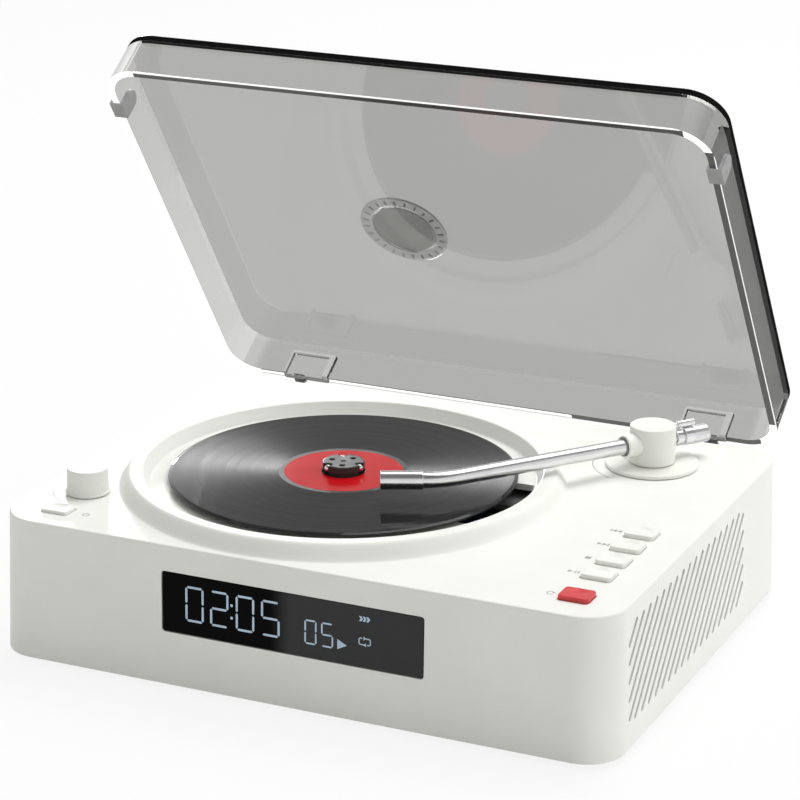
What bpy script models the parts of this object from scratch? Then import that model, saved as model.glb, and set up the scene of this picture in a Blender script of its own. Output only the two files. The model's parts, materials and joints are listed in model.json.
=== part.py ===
import math

import bmesh
import bpy
from mathutils import Matrix, Vector

# Driving dimensions, in metres. The scale comes from the 120 mm disc.
# x runs to the right of the front panel, y to the back, z up from the feet's undersides.

# Case
foot_height = 0.002
body_left_margin = 0.0144
body_right_margin = 0.052
body_front_margin = 0.00325
body_rear_margin = 0.01445
body_height = 0.0487
body_draft = 0.00126
body_corner = 0.0134
wall = 0.0022
fit_gap = 0.0003
cut_overrun = 0.002

# Raised ring, well and the pickup opening in the well's floor
ring_disc_gap = 0.0064
ring_inner_slope = 0.0022
ring_crest_width = 0.0044
ring_outer_slope = 0.0032
ring_height = 0.0053
ring_roundness = 2.3
ring_skirt = 0.0004
ring_outer_wall = 0.0004
ring_inner_wall = 0.002
well_step = 0.0005
floor_inner = 0.01
pickup_left = 0.024
pickup_front = 0.0221
pickup_back = 0.0208
pickup_ring_gap = 0.001
pickup_corner = 0.006

# Speaker slots in both sides
slot_count = 22
slot_width = 0.0011
slot_front_inset = 0.01605
slot_back_inset = 0.04355
slot_first_reach = 0.0062
slot_last_reach = 0.0058
slot_foot_margin = 0.0092
slot_deck_margin = 0.0072
slot_round_share = 0.3

# Corner posts, screws, feet and bottom cover
post_radius = 0.0032
front_post_side = 0.0069
front_post_speaker_gap = 0.00825
rear_post_side = 0.0089
rear_post_front = 0.01905
screw_radius = 0.0012
screw_head_radius = 0.003
screw_head_height = 0.001
screw_length = 0.012
screw_recess = 0.0014
foot_side_inset = 0.0244
foot_end_inset = 0.02305
foot_radius = 0.008
foot_plug_radius = 0.004
foot_plug_height = 0.001

# Display window in the front
window_width = 0.0938
window_height = 0.02115
window_x = 0.0005
window_drop = 0.01952
window_corner = 0.0023
window_set_back = 0.00015
window_flange = 0.0018
window_flange_thickness = 0.0012
module_margin = 0.0042
module_depth = 0.0035
board_thickness = 0.0016

# Buttons
button_width = 0.0102
button_depth = 0.0084
button_height = 0.0015
button_corner = 0.0012
button_edge = 0.0004
button_side_inset = 0.0171
button_row_back = 0.0585
button_pitch = 0.01303
mode_front_inset = 0.01485
power_side_inset = 0.017
power_front_inset = 0.01295
power_width = 0.0099
power_depth = 0.0075
power_height = 0.0012
flange_width = 0.0008
flange_thickness = 0.001
plunger_radius = 0.002
plunger_length = 0.0003
button_board_drop = 0.0067
button_board_left = 0.0082
button_board_margin = 0.0062
switch_side = 0.006
switch_height = 0.0004
board_post_radius = 0.0011

# Volume control
knob_side_inset = 0.0171
knob_ring_distance = 0.01115
knob_height = 0.0091
knob_radius = 0.0069
knob_foot_radius = 0.0072
knob_collar_radius = 0.0077
knob_collar_height = 0.0015
knob_edge = 0.0005
knob_bore_depth = 0.006
shaft_radius = 0.003
pot_radius = 0.008
pot_height = 0.0063
pot_floor = 0.0013
control_board_left = 0.009
control_board_margin = 0.0065
control_post_gap = 0.0022

# Disc, hub and balls
disc_radius = 0.06
disc_bore = 0.0075
disc_thickness = 0.0012
disc_lift = 0.0033
hub_radius = 0.0072
hub_height = 0.0035
hub_edge = 0.0003
platter_radius = 0.015
platter_thickness = 0.0016
hub_boss_radius = 0.004
hub_boss_length = 0.0039
ball_radius = 0.0013
ball_circle = 0.0062
ball_drop = 0.0015
ball_first_angle = math.radians(-3)
ball_count = 3

# Disc mechanism
chassis_left = 0.0232
chassis_ring_inset = 0.0054
chassis_half_depth = 0.033
chassis_drop = 0.0042
chassis_wall = 0.002
chassis_height = 0.0125
sled_first_x = 0.023
sled_rim_inset = 0.002
sled_half_length = 0.008
sled_front = 0.02
sled_back = 0.027
sled_low_drop = 0.0142
sled_high_drop = 0.0072
head_half_length = 0.006
head_half_depth = 0.01
head_drop = 0.0008
head_clearance = 0.0006
lens_radius = 0.002
lens_height = 0.001
rod_radius = 0.0015
rod_y = 0.017
rod_drop = 0.0107
screw_y = 0.024
spindle_motor_radius = 0.012
spindle_motor_height = 0.0092
spindle_shaft_radius = 0.001
sled_motor_radius = 0.004
sled_motor_length = 0.016
damper_radius = 0.004
damper_bore = 0.0015
damper_y = 0.028
damper_left_x = -0.0152
damper_right_inset = 0.024
damper_front_x = 0.0188

# Tonearm
arm_side_inset = 0.03723
arm_back_inset = 0.03195
arm_flange_radius = 0.016
arm_flange_foot = 0.01625
arm_flange_height = 0.0014
arm_neck_radius = 0.006
arm_neck_drop = 0.0047
pillar_radius = 0.008
pillar_height = 0.01485
pillar_edge = 0.0006
stem_radius = 0.004
stem_drop = 0.0072
arm_height = 0.0085
collar_radius = 0.0041
collar_reach = 0.0125
collar_recess_radius = 0.0034
collar_recess_floor = 0.009
tube_radius = 0.0027
bend_left = 0.04837
bend_front = 0.0723
bend_height = 0.01095
bend_length = 0.0052
bend_steps = 6
headshell_radius = 0.0032
headshell_left = 0.05377
headshell_front = 0.0747
headshell_tip_left = 0.06687
headshell_tip_front = 0.0808
headshell_edge = 0.0006
weight_neck_radius = 0.003
weight_neck_start = 0.009
weight_radius = 0.0033
weight_start = 0.0125
weight_end = 0.023
weight_stem_radius = 0.002
weight_stem_start = 0.0053
trim_radius = 0.0013
trim_stem_radius = 0.0007
trim_rise = 0.0047
trim_stem_start = 0.0066
trim_start = 0.0104
trim_end = 0.0175
arm_switch_side = 0.016
arm_switch_height = 0.007
arm_switch_post = 0.0065
arm_switch_post_radius = 0.002

# Lid and its hinge
lid_side_inset = 0.0001
lid_front_inset = 0.0
lid_rear_inset = 0.0061
lid_height = 0.018
lid_wall = 0.0026
lid_panel = 0.0022
lid_corner = 0.0135
lid_edge = 0.0015
lid_gap = 0.001
lid_open = math.radians(55.4)
hinge_inset = 0.00335
hinge_drop = 0.0041
hinge_setback = 0.00275
lug_width = 0.01925
lug_left_inset = 0.03595
lug_right_inset = 0.0264
lug_left_reach = 0.0055
lug_right_reach = 0.0046
lug_below_rim = 0.006
lug_above_rim = 0.0054
lug_wall_overlap = 0.0004
knuckle_radius = 0.0023
knuckle_top = 0.0018
pin_radius = 0.0008
pin_overhang = 0.004
slot_side_clearance = 0.001
slot_front_clearance = 0.0096
slot_floor = 0.0033
bracket_side = 0.005
bracket_height = 0.0102
bracket_front = 0.0115
bracket_pocket_side = 0.0006
bracket_pocket_front = 0.0099
bracket_pocket_floor = 0.0051
bracket_rear = 0.0008
badge_left_offset = 0.0047
badge_rear_offset = 0.0057
badge_radius = 0.0164
badge_inner_radius = 0.012
badge_thickness = 0.0012
badge_dish = 0.0004
bumper_front_inset = 0.02
bumper_length = 0.007
bumper_inner = 0.0022
bumper_outer = 0.002
bumper_base = 0.0005
bumper_height = 0.006
bumper_tab_radius = 0.005
bumper_tab_inset = 0.019
bumper_tab_height = 0.0055

# Boards, battery, speakers and inlet inside the case
main_board_x = 0.0075
main_board_y = -0.02
main_board_width = 0.125
main_board_depth = 0.084
main_board_rise = 0.008
board_stand_radius = 0.0025
board_stand_inset = 0.006
chip_width = 0.012
chip_height = 0.0016
capacitor_radius = 0.004
capacitor_height = 0.011
connector_width = 0.012
connector_depth = 0.006
connector_height = 0.008
part_sink = 0.0004
battery_x = -0.016
battery_rear_inset = 0.01505
battery_width = 0.068
battery_depth = 0.038
battery_height = 0.019
battery_edge = 0.006
speaker_radius = 0.016
speaker_rim = 0.002
speaker_cone_radius = 0.0135
speaker_magnet_radius = 0.009
speaker_basket = 0.009
speaker_depth = 0.014
speaker_dish = 0.003
inlet_x = 0.04
inlet_rise = 0.012
inlet_radius = 0.005
inlet_bore_radius = 0.003
inlet_bore_depth = 0.009
inlet_pin_radius = 0.001
inlet_side = 0.011
inlet_depth = 0.011

# Facets of round shapes, and the distance below which points are one
large_steps = 80
round_steps = 32
small_steps = 20
tiny_steps = 12
corner_steps = 5
slope_steps = 5
edge_steps = 2
merge_distance = 0.00001

# Values worked out from the driving dimensions
ring_foot_inner = disc_radius + ring_disc_gap
ring_crest_inner = ring_foot_inner + ring_inner_slope
ring_crest_outer = ring_crest_inner + ring_crest_width
ring_foot = ring_crest_outer + ring_outer_slope
ring_pocket_outer = ring_crest_outer - ring_outer_wall
ring_pocket_inner = ring_crest_inner + ring_inner_wall
body_width = ring_foot * 2 + body_left_margin + body_right_margin
body_depth = ring_foot * 2 + body_front_margin + body_rear_margin
taper = body_draft / body_height
draft_angle = math.atan(taper)
deck_z = foot_height + body_height
deck_under = deck_z - wall
cover_top = foot_height + wall
disc_x = -body_width / 2 + body_left_margin + ring_foot
disc_y = -body_depth / 2 + body_front_margin + ring_foot
pickup_reach = ring_foot_inner - pickup_ring_gap
ring_top = deck_z + ring_height
slot_front = -body_depth / 2 + slot_front_inset
slot_back = body_depth / 2 - slot_back_inset
slot_low = foot_height + slot_foot_margin
slot_high = deck_z - slot_deck_margin
slot_first_top = slot_front + slot_first_reach
slot_last_top = slot_back - slot_last_reach + slot_high - slot_low
slot_pitch = (slot_last_top - slot_first_top) / (slot_count - 1)
front_post_x = body_width / 2 - front_post_side
speaker_y = (slot_front + slot_back) / 2
speaker_z = (slot_low + slot_high) / 2
front_post_y = speaker_y - speaker_radius - front_post_speaker_gap
rear_post_x = body_width / 2 - rear_post_side
rear_post_y = body_depth / 2 - rear_post_front
foot_x = body_width / 2 - foot_side_inset
foot_y = body_depth / 2 - foot_end_inset
window_z = deck_z - window_drop
button_x = body_width / 2 - button_side_inset
mode_y = -body_depth / 2 + mode_front_inset
button_first_y = mode_y + button_row_back
power_x = -body_width / 2 + power_side_inset
power_y = -body_depth / 2 + power_front_inset
button_board_z = deck_z - button_board_drop
knob_x = -body_width / 2 + knob_side_inset
knob_from_ring = (ring_foot + knob_ring_distance) ** 2 - (disc_x - knob_x) ** 2
knob_y = disc_y - math.sqrt(knob_from_ring)
control_post_x = knob_x + pot_radius + control_post_gap
floor_top = deck_z + well_step
floor_under = floor_top - wall
disc_top = deck_z + disc_lift
disc_under = disc_top - disc_thickness
platter_top = disc_under - fit_gap
hub_top = disc_top + hub_height
chassis_right = ring_foot - chassis_ring_inset
damper_right_x = chassis_right - damper_right_inset
sled_travel = disc_radius - sled_rim_inset - sled_first_x
chassis_top = deck_z - chassis_drop
chassis_low = chassis_top - chassis_height
chassis_under = chassis_top - chassis_wall
sled_low = deck_z - sled_low_drop
sled_high = deck_z - sled_high_drop
head_top = deck_z - head_drop
rod_z = deck_z - rod_drop
arm_x = body_width / 2 - arm_side_inset
arm_y = body_depth / 2 - arm_back_inset
lid_width = body_width - lid_side_inset * 2
lid_depth = body_depth - lid_rear_inset - lid_front_inset
hinge_y = body_depth / 2 - hinge_inset
hinge_z = deck_z - hinge_drop
main_board_z = foot_height + main_board_rise
inlet_z = foot_height + inlet_rise
rim_z = hinge_drop + lid_gap
panel_z = rim_z + lid_height
rear_y = -hinge_setback
front_y = rear_y - lid_depth
badge_x = disc_x - badge_left_offset
badge_reach = lid_depth / 2 - badge_rear_offset
lid_reach = math.cos(lid_open) * (rear_y - lid_edge) + math.sin(lid_open) * (panel_z - lid_edge)
lowest_y = -body_depth / 2 - body_draft
highest_y = hinge_y + lid_reach + lid_edge
arm_heading = Vector((-bend_left, -bend_front, bend_height - arm_height)).normalized()

white_plastic = ((0.83, 0.83, 0.81), 0.45, 0.0)
smoky_plastic = ((0.26, 0.26, 0.25), 0.08, 0.0)
grey_plastic = ((0.2, 0.2, 0.2), 0.5, 0.0)
dark_plastic = ((0.03, 0.03, 0.03), 0.5, 0.0)
black_glass = ((0.01, 0.01, 0.012), 0.1, 0.0)
black_disc = ((0.02, 0.02, 0.02), 0.25, 0.0)
red_plastic = ((0.6, 0.03, 0.04), 0.4, 0.0)
chrome = ((0.8, 0.8, 0.82), 0.15, 1.0)
steel = ((0.5, 0.5, 0.52), 0.35, 1.0)
green_board = ((0.02, 0.12, 0.05), 0.6, 0.0)
black_rubber = ((0.02, 0.02, 0.02), 0.85, 0.0)
battery_wrap = ((0.03, 0.09, 0.3), 0.5, 0.0)


# The scene, its collections and the frames that pieces stand in

for old in list(bpy.data.objects):
    bpy.data.objects.remove(old, do_unlink=True)

parts = bpy.data.collections.new("cd_player")
cutters = bpy.data.collections.new("cutters")
bpy.context.scene.collection.children.link(parts)
bpy.context.scene.collection.children.link(cutters)


def frame(name, place, turn, parent):
    # An empty that carries pieces: a joint's axis, or a sloping wall's face
    empty = bpy.data.objects.new(name, None)
    parts.objects.link(empty)
    empty.parent = parent
    empty.location = place
    empty.rotation_euler = turn
    return empty


def wall_x(z):
    # Half the case's outer width at a height
    return body_width / 2 + taper * (deck_z - z)


def wall_y(z):
    # Half the case's outer depth at a height
    return body_depth / 2 + taper * (deck_z - z)


player = frame("player", (0, -(highest_y + lowest_y) / 2, 0), (0, 0, 0), None)
disc_axis = frame("disc_axis", (disc_x, disc_y, 0), (0, 0, 0), player)
arm_axis = frame("arm_axis", (arm_x, arm_y, deck_z), (0, 0, 0), player)
hinge_axis = frame("hinge_axis", (0, hinge_y, hinge_z), (-lid_open, 0, 0), player)
front_face = frame("front_face", (window_x, -wall_y(window_z), window_z), (-draft_angle, 0, 0), player)


# Shapes

def add_piece(name, bm, parent, place, finish):
    # A mesh object, in the cutters' collection where it has no finish of its own
    mesh = bpy.data.meshes.new(name)
    bmesh.ops.recalc_face_normals(bm, faces=bm.faces)
    bm.to_mesh(mesh)
    bm.free()
    piece = bpy.data.objects.new(name, mesh)
    piece.parent = parent
    piece.location = place
    if finish is None:
        cutters.objects.link(piece)
        piece.hide_render = True
        piece.display_type = "WIRE"
        return piece
    parts.objects.link(piece)
    colour, roughness, metallic = finish
    material = bpy.data.materials.new(name + "_finish")
    material.use_nodes = True
    shader = material.node_tree.nodes["Principled BSDF"]
    shader.inputs["Base Color"].default_value = (*colour, 1)
    shader.inputs["Roughness"].default_value = roughness
    shader.inputs["Metallic"].default_value = metallic
    mesh.materials.append(material)
    return piece


def block(name, low, high, parent, finish=None, corner=0, draft=0, edge=0):
    # A box between two corners. draft widens its foot, corner rounds its upright edges, edge its top
    low = Vector(low)
    high = Vector(high)
    size = high - low
    bm = bmesh.new()
    bmesh.ops.create_cube(bm, size=1)
    bmesh.ops.scale(bm, vec=size, verts=bm.verts)
    for vert in bm.verts:
        if vert.co.z < 0:
            vert.co.x += math.copysign(draft, vert.co.x)
            vert.co.y += math.copysign(draft, vert.co.y)
    if corner:
        sides = [side for side in bm.edges if side.verts[0].co.z * side.verts[1].co.z < 0]
        bmesh.ops.bevel(bm, geom=sides, offset=corner, segments=corner_steps, profile=0.5, affect="EDGES")
    if edge:
        rim = [side for side in bm.edges if side.verts[0].co.z > 0 and side.verts[1].co.z > 0]
        bmesh.ops.bevel(bm, geom=rim, offset=edge, segments=edge_steps, profile=0.5, affect="EDGES")
    piece = add_piece(name, bm, parent, (low + high) / 2, finish)
    piece.data.shade_smooth()
    piece.data.set_sharp_from_angle(angle=math.radians(35))
    return piece


def rod(name, start, end, radius, parent, finish=None, steps=small_steps, edge=0):
    # A round bar between two points
    start = Vector(start)
    end = Vector(end)
    bm = bmesh.new()
    bmesh.ops.create_cone(
        bm, cap_ends=True, segments=steps, radius1=radius, radius2=radius, depth=(end - start).length
    )
    if edge:
        rims = [side for side in bm.edges if side.verts[0].co.z * side.verts[1].co.z > 0]
        bmesh.ops.bevel(bm, geom=rims, offset=edge, segments=edge_steps, profile=0.5, affect="EDGES")
    piece = add_piece(name, bm, parent, (start + end) / 2, finish)
    piece.rotation_euler = (end - start).to_track_quat("Z", "Y").to_euler()
    piece.data.shade_smooth()
    piece.data.set_sharp_from_angle(angle=math.radians(35))
    return piece


def upright(name, x, y, low, high, radius, parent, finish=None, steps=small_steps, edge=0):
    # A round bar that stands upright
    return rod(name, (x, y, low), (x, y, high), radius, parent, finish, steps, edge)


def turned(name, profile, parent, place, finish=None, steps=round_steps, closed=False):
    # A profile of (radius, height) points, down the outer side, turned about z
    bm = bmesh.new()
    verts = [bm.verts.new((radius, 0, height)) for radius, height in profile]
    following = verts[1:] + verts[:1] if closed else verts[1:]
    for first, second in zip(verts, following):
        bm.edges.new((first, second))
    piece = add_piece(name, bm, parent, place, finish)
    screw = piece.modifiers.new("turn", "SCREW")
    screw.steps = steps
    screw.render_steps = steps
    screw.use_merge_vertices = True
    screw.merge_threshold = merge_distance
    screw.use_smooth_shade = True
    return piece


def cut(piece, tool, operation="DIFFERENCE"):
    change = piece.modifiers.new(tool.name, "BOOLEAN")
    change.operation = operation
    change.solver = "EXACT"
    change.object = tool


def join(piece, tool):
    cut(piece, tool, "UNION")


def around(x, y, half_x, half_y, low, high):
    # The two corners of a box centred on x and y
    return (x - half_x, y - half_y, low), (x + half_x, y + half_y, high)


# Case

def ring_profile():
    # The raised ring with a hollow underside, and the well's floor
    rise = ring_height + ring_skirt
    base = deck_z - ring_skirt
    width = ring_foot - ring_crest_outer
    points = [(ring_crest_inner, ring_top)]
    for step in range(slope_steps + 1):
        turn = math.pi / 2 * (1 - step / slope_steps)
        out = math.cos(turn) ** (2 / ring_roundness) if step else 0
        up = max(math.sin(turn), 0) ** (2 / ring_roundness)
        points.append((ring_crest_outer + width * out, base + rise * up))
    points.append((ring_foot, deck_under - ring_skirt))
    points.append((ring_foot - wall, deck_under - ring_skirt))
    points.append((ring_foot - wall, deck_z))
    points.append((ring_pocket_outer, ring_top - wall))
    points.append((ring_pocket_inner, ring_top - wall))
    points.append((ring_foot_inner + wall, floor_top))
    points.append((ring_foot_inner + wall, floor_under))
    points.append((floor_inner, floor_under))
    points.append((floor_inner, floor_top))
    points.append((ring_foot_inner, floor_top))
    return points


def slot_cutter(name, side):
    # All the slanting slots of one side wall, +1 right or -1 left
    inner = wall_x(deck_z) - wall - slot_width
    outer = wall_x(foot_height) + cut_overrun
    bm = bmesh.new()
    for index in range(slot_count):
        top_y = slot_first_top + slot_pitch * index
        start_y = max(top_y - (slot_high - slot_low), slot_front)
        end_y = min(top_y, slot_back)
        middle = Vector((side * (inner + outer) / 2, (start_y + end_y) / 2, 0))
        middle.z = slot_high - (top_y - middle.y)
        length = math.hypot(end_y - start_y, end_y - start_y) + slot_width
        size = Matrix.Diagonal((outer - inner, length, slot_width, 1))
        slant = Matrix.Rotation(math.radians(45), 4, "X")
        bmesh.ops.create_cube(bm, size=1, matrix=Matrix.Translation(middle) @ slant @ size)
    across = [line for line in bm.edges if abs(line.verts[0].co.x - line.verts[1].co.x) > slot_width]
    round_off = slot_width * slot_round_share
    bmesh.ops.bevel(bm, geom=across, offset=round_off, segments=1, profile=0.5, affect="EDGES")
    return add_piece(name, bm, player, (0, 0, 0), None)


def post_places():
    return [
        (-front_post_x, front_post_y),
        (front_post_x, front_post_y),
        (-rear_post_x, rear_post_y),
        (rear_post_x, rear_post_y),
    ]


def button_rows():
    # Name, centre and size of each push button: the four white ones, the red one, the power button
    rows = []
    for index, name in enumerate(("previous_button", "next_button", "stop_button", "play_pause_button")):
        place = (button_x, button_first_y - button_pitch * index)
        rows.append((name, place, (button_width, button_depth, button_height), white_plastic))
    rows.append(("mode_button", (button_x, mode_y), (button_width, button_depth, button_height), red_plastic))
    rows.append(("power_button", (power_x, power_y), (power_width, power_depth, power_height), white_plastic))
    return rows


def board_posts():
    # Posts between the deck and the boards of the buttons and of the volume control
    between_rows = button_first_y - button_pitch / 2
    before_mode = (button_first_y - button_pitch * 3 + mode_y) / 2
    low = button_board_z + board_thickness + fit_gap
    low_left = control_board_top() + fit_gap
    return [
        (button_x, between_rows, low),
        (button_x, before_mode, low),
        (control_post_x, knob_y, low_left),
    ]


def control_board_top():
    return deck_under - fit_gap - pot_height - fit_gap


def lugs():
    # Name, x range and reach from the lid's rear face of the two hinge lugs
    half = lug_width / 2
    left = -body_width / 2 + lug_left_inset
    right = body_width / 2 - lug_right_inset
    return [
        ("left", (left - half, left + half), lug_left_reach),
        ("right", (right - half, right + half), lug_right_reach),
    ]


def top_case():
    half_x = body_width / 2
    half_y = body_depth / 2
    case = block(
        "top_case", (-half_x, -half_y, foot_height), (half_x, half_y, deck_z), player,
        white_plastic, corner=body_corner, draft=body_draft,
    )
    hollow_x = wall_x(deck_under) - wall
    hollow_y = wall_y(deck_under) - wall
    hollow_low = foot_height - cut_overrun
    cut(case, block(
        "case_hollow", (-hollow_x, -hollow_y, hollow_low), (hollow_x, hollow_y, deck_under), player,
        corner=body_corner - wall, draft=taper * (deck_under - hollow_low),
    ))
    hole_radius = ring_foot - wall / 2
    cut(case, upright(
        "well_hole", 0, 0, deck_under - cut_overrun, deck_z + cut_overrun, hole_radius, disc_axis,
        steps=large_steps,
    ))
    join(case, turned("ring", ring_profile(), disc_axis, (0, 0, 0), steps=large_steps, closed=True))
    add_posts(case)
    cut_deck(case)
    cut_walls(case)
    return case


def add_posts(case):
    for index, (x, y) in enumerate(post_places()):
        low = cover_top + fit_gap
        join(case, upright("post_%d" % index, x, y, low, deck_under + wall / 2, post_radius, player))
        cut(case, upright(
            "post_bore_%d" % index, x, y, low - cut_overrun, foot_height + screw_length + cut_overrun,
            screw_radius + fit_gap, player, steps=tiny_steps,
        ))
    for index, (x, y, low) in enumerate(board_posts()):
        join(case, upright(
            "board_post_%d" % index, x, y, low, deck_under + wall / 2, board_post_radius, player,
            steps=tiny_steps,
        ))
    low = deck_z - stem_drop
    for side in (-1, 1):
        offset = side * arm_switch_post
        join(case, upright(
            "switch_post_%d" % side, arm_x + offset, arm_y + offset, low, deck_under + wall / 2,
            arm_switch_post_radius, player, steps=tiny_steps,
        ))


def cut_deck(case):
    opening = block(
        "pickup_opening", (-pickup_left, -pickup_front, floor_under - fit_gap),
        (pickup_reach + cut_overrun, pickup_back, floor_top + fit_gap), disc_axis, corner=pickup_corner,
    )
    limit = upright(
        "pickup_limit", 0, 0, floor_under - cut_overrun, floor_top + cut_overrun, pickup_reach,
        disc_axis, steps=large_steps,
    )
    cut(opening, limit, "INTERSECT")
    cut(case, opening)
    low = deck_under - cut_overrun
    high = ring_top + cut_overrun
    for name, (x, y), (width, depth, height), finish in button_rows():
        half_x = width / 2 + fit_gap
        half_y = depth / 2 + fit_gap
        corner = button_corner + fit_gap
        cut(case, block(name + "_hole", *around(x, y, half_x, half_y, low, high), player, corner=corner))
    cut(case, upright("knob_hole", knob_x, knob_y, low, high, shaft_radius + fit_gap, player))
    cut(case, upright("arm_hole", arm_x, arm_y, low, high, arm_neck_radius + fit_gap, player))
    for name, (x_low, x_high), reach in lugs():
        cut(case, block(
            name + "_hinge_slot",
            (x_low - slot_side_clearance, hinge_y - slot_front_clearance, hinge_z - slot_floor),
            (x_high + slot_side_clearance, wall_y(foot_height) + cut_overrun, high), player,
        ))


def cut_walls(case):
    half_x = window_width / 2
    half_z = window_height / 2
    cut(case, panel("window_hole", half_x, half_z, -cut_overrun, wall + cut_overrun, window_corner))
    for name, side in (("right_slots", 1), ("left_slots", -1)):
        cut(case, slot_cutter(name, side))
    outer = wall_y(foot_height) + cut_overrun
    inner = wall_y(deck_z) - wall - cut_overrun
    cut(case, rod(
        "inlet_hole", (inlet_x, inner, inlet_z), (inlet_x, outer, inlet_z), inlet_radius + fit_gap, player,
    ))


def panel(name, half_x, half_z, start, end, corner, finish=None):
    # A flat piece in the front wall: its depth runs inward from the wall's face
    plate = block(
        name, (-half_x, -half_z, start), (half_x, half_z, end), front_face, finish, corner=corner,
    )
    plate.rotation_euler = (math.radians(90), 0, 0)
    plate.location = (0, (start + end) / 2, 0)
    return plate


def bottom_cover():
    half_x = wall_x(cover_top) - wall - fit_gap
    half_y = wall_y(cover_top) - wall - fit_gap
    cover = block(
        "bottom_cover", (-half_x, -half_y, foot_height), (half_x, half_y, cover_top), player,
        dark_plastic, corner=body_corner - wall,
    )
    for index, (x, y) in enumerate(board_stands()):
        join(cover, upright(
            "board_stand_%d" % index, x, y, cover_top - wall / 2, main_board_z - fit_gap,
            board_stand_radius, player, steps=tiny_steps,
        ))
    below = foot_height - cut_overrun
    for index, (x, y) in enumerate(post_places()):
        cut(cover, upright(
            "head_recess_%d" % index, x, y, below, foot_height + screw_recess,
            screw_head_radius + fit_gap, player,
        ))
        cut(cover, upright(
            "cover_bore_%d" % index, x, y, below, cover_top + cut_overrun, screw_radius + fit_gap, player,
            steps=tiny_steps,
        ))
    for index, (x, y) in enumerate(foot_places()):
        cut(cover, upright(
            "foot_recess_%d" % index, x, y, below, foot_height + foot_plug_height + fit_gap,
            foot_plug_radius + fit_gap, player,
        ))
    return cover


def foot_places():
    return [(x, y) for y in (-foot_y, foot_y) for x in (-foot_x, foot_x)]


def board_stands():
    reach_x = main_board_width / 2 - board_stand_inset
    reach_y = main_board_depth / 2 - board_stand_inset
    return [(main_board_x + x, main_board_y + y) for y in (-reach_y, reach_y) for x in (-reach_x, reach_x)]


def feet_and_screws():
    corners = ("front_left", "front_right", "rear_left", "rear_right")
    foot_top = foot_height - fit_gap
    profile = [
        (0, foot_height + foot_plug_height),
        (foot_plug_radius, foot_height + foot_plug_height),
        (foot_plug_radius, foot_top),
        (foot_radius, foot_top),
        (foot_radius, 0),
        (0, 0),
    ]
    for corner, (x, y) in zip(corners, foot_places()):
        turned("foot_" + corner, profile, player, (x, y, 0), black_rubber, steps=small_steps)
    head_top = foot_height + screw_recess - fit_gap
    screw_profile = [
        (0, foot_height + screw_length),
        (screw_radius, foot_height + screw_length),
        (screw_radius, head_top),
        (screw_head_radius, head_top),
        (screw_head_radius, head_top - screw_head_height),
        (0, head_top - screw_head_height),
    ]
    for corner, (x, y) in zip(corners, post_places()):
        turned("case_screw_" + corner, screw_profile, player, (x, y, 0), steel, steps=tiny_steps)


# Front window and its display

def display():
    half_x = window_width / 2 - fit_gap
    half_z = window_height / 2 - fit_gap
    flange_start = wall + fit_gap
    flange_end = flange_start + window_flange_thickness
    window = panel(
        "display_window", half_x, half_z, window_set_back, flange_end - window_flange_thickness / 2,
        window_corner - fit_gap, black_glass,
    )
    join(window, panel(
        "window_flange", half_x + window_flange, half_z + window_flange, flange_start, flange_end,
        window_corner,
    ))
    module_start = flange_end + fit_gap
    module_end = module_start + module_depth
    board = panel(
        "display_board", half_x, half_z + window_flange / 2, module_end, module_end + board_thickness, 0,
        green_board,
    )
    join(board, panel(
        "display_module", half_x - module_margin, half_z - window_flange, module_start,
        module_end + board_thickness / 2, 0,
    ))


# Buttons and their boards

def push_button(name, place, size, finish):
    # A cap through the deck, with a flange under it and a short plunger over its switch
    x, y = place
    width, depth, height = size
    stop = deck_under - fit_gap
    holder = block(
        name, *around(x, y, width / 2, depth / 2, stop - flange_thickness / 2, deck_z + height), player,
        finish, corner=button_corner, edge=button_edge,
    )
    half_x = width / 2 + flange_width
    half_y = depth / 2 + flange_width
    join(holder, block(
        name + "_flange", *around(x, y, half_x, half_y, stop - flange_thickness, stop), player,
    ))
    join(holder, upright(
        name + "_plunger", x, y, stop - flange_thickness - plunger_length, stop - flange_thickness / 2,
        plunger_radius, player, steps=tiny_steps,
    ))


def boards_of_buttons():
    board_top = button_board_z + board_thickness
    board = block(
        "button_board",
        (button_x - button_board_left, mode_y - button_board_margin, button_board_z),
        (button_x + button_board_margin, button_first_y + button_board_margin, board_top),
        player, green_board,
    )
    for name, (x, y), size, finish in button_rows()[:-1]:
        join(board, block(
            name + "_switch",
            *around(x, y, switch_side / 2, switch_side / 2, board_top - part_sink, board_top + switch_height),
            player,
        ))
    control_top = control_board_top()
    low = control_top - board_thickness
    control = block(
        "control_board",
        (knob_x - control_board_left, power_y - control_board_margin, low),
        (control_post_x + board_post_radius * 2, knob_y + pot_radius, control_top),
        player, green_board,
    )
    join(control, block(
        "power_switch",
        *around(
            power_x, power_y, switch_side / 2, switch_side / 2, control_top - part_sink,
            board_top + switch_height,
        ),
        player,
    ))


# Volume control

def volume():
    top = deck_z + knob_height
    low = deck_z + fit_gap
    bore_top = low + knob_bore_depth
    bore = shaft_radius + fit_gap
    collar_top = deck_z + knob_collar_height
    place = (knob_x, knob_y, 0)
    turned("volume_knob", [
        (0, top),
        (knob_radius - knob_edge, top),
        (knob_radius, top - knob_edge),
        (knob_foot_radius, collar_top),
        (knob_collar_radius, collar_top),
        (knob_collar_radius, low),
        (bore, low),
        (bore, bore_top),
        (0, bore_top),
    ], player, place, white_plastic)
    pot_top = deck_under - fit_gap
    pot_low = pot_top - pot_height
    turned("volume_pot", [
        (0, pot_low + pot_floor),
        (bore, pot_low + pot_floor),
        (bore, pot_top),
        (pot_radius, pot_top),
        (pot_radius, pot_low),
        (0, pot_low),
    ], player, place, steel)
    upright(
        "volume_shaft", knob_x, knob_y, pot_low + pot_floor + fit_gap, bore_top - fit_gap, shaft_radius,
        player, steel,
    )


# Disc, hub and mechanism

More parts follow.
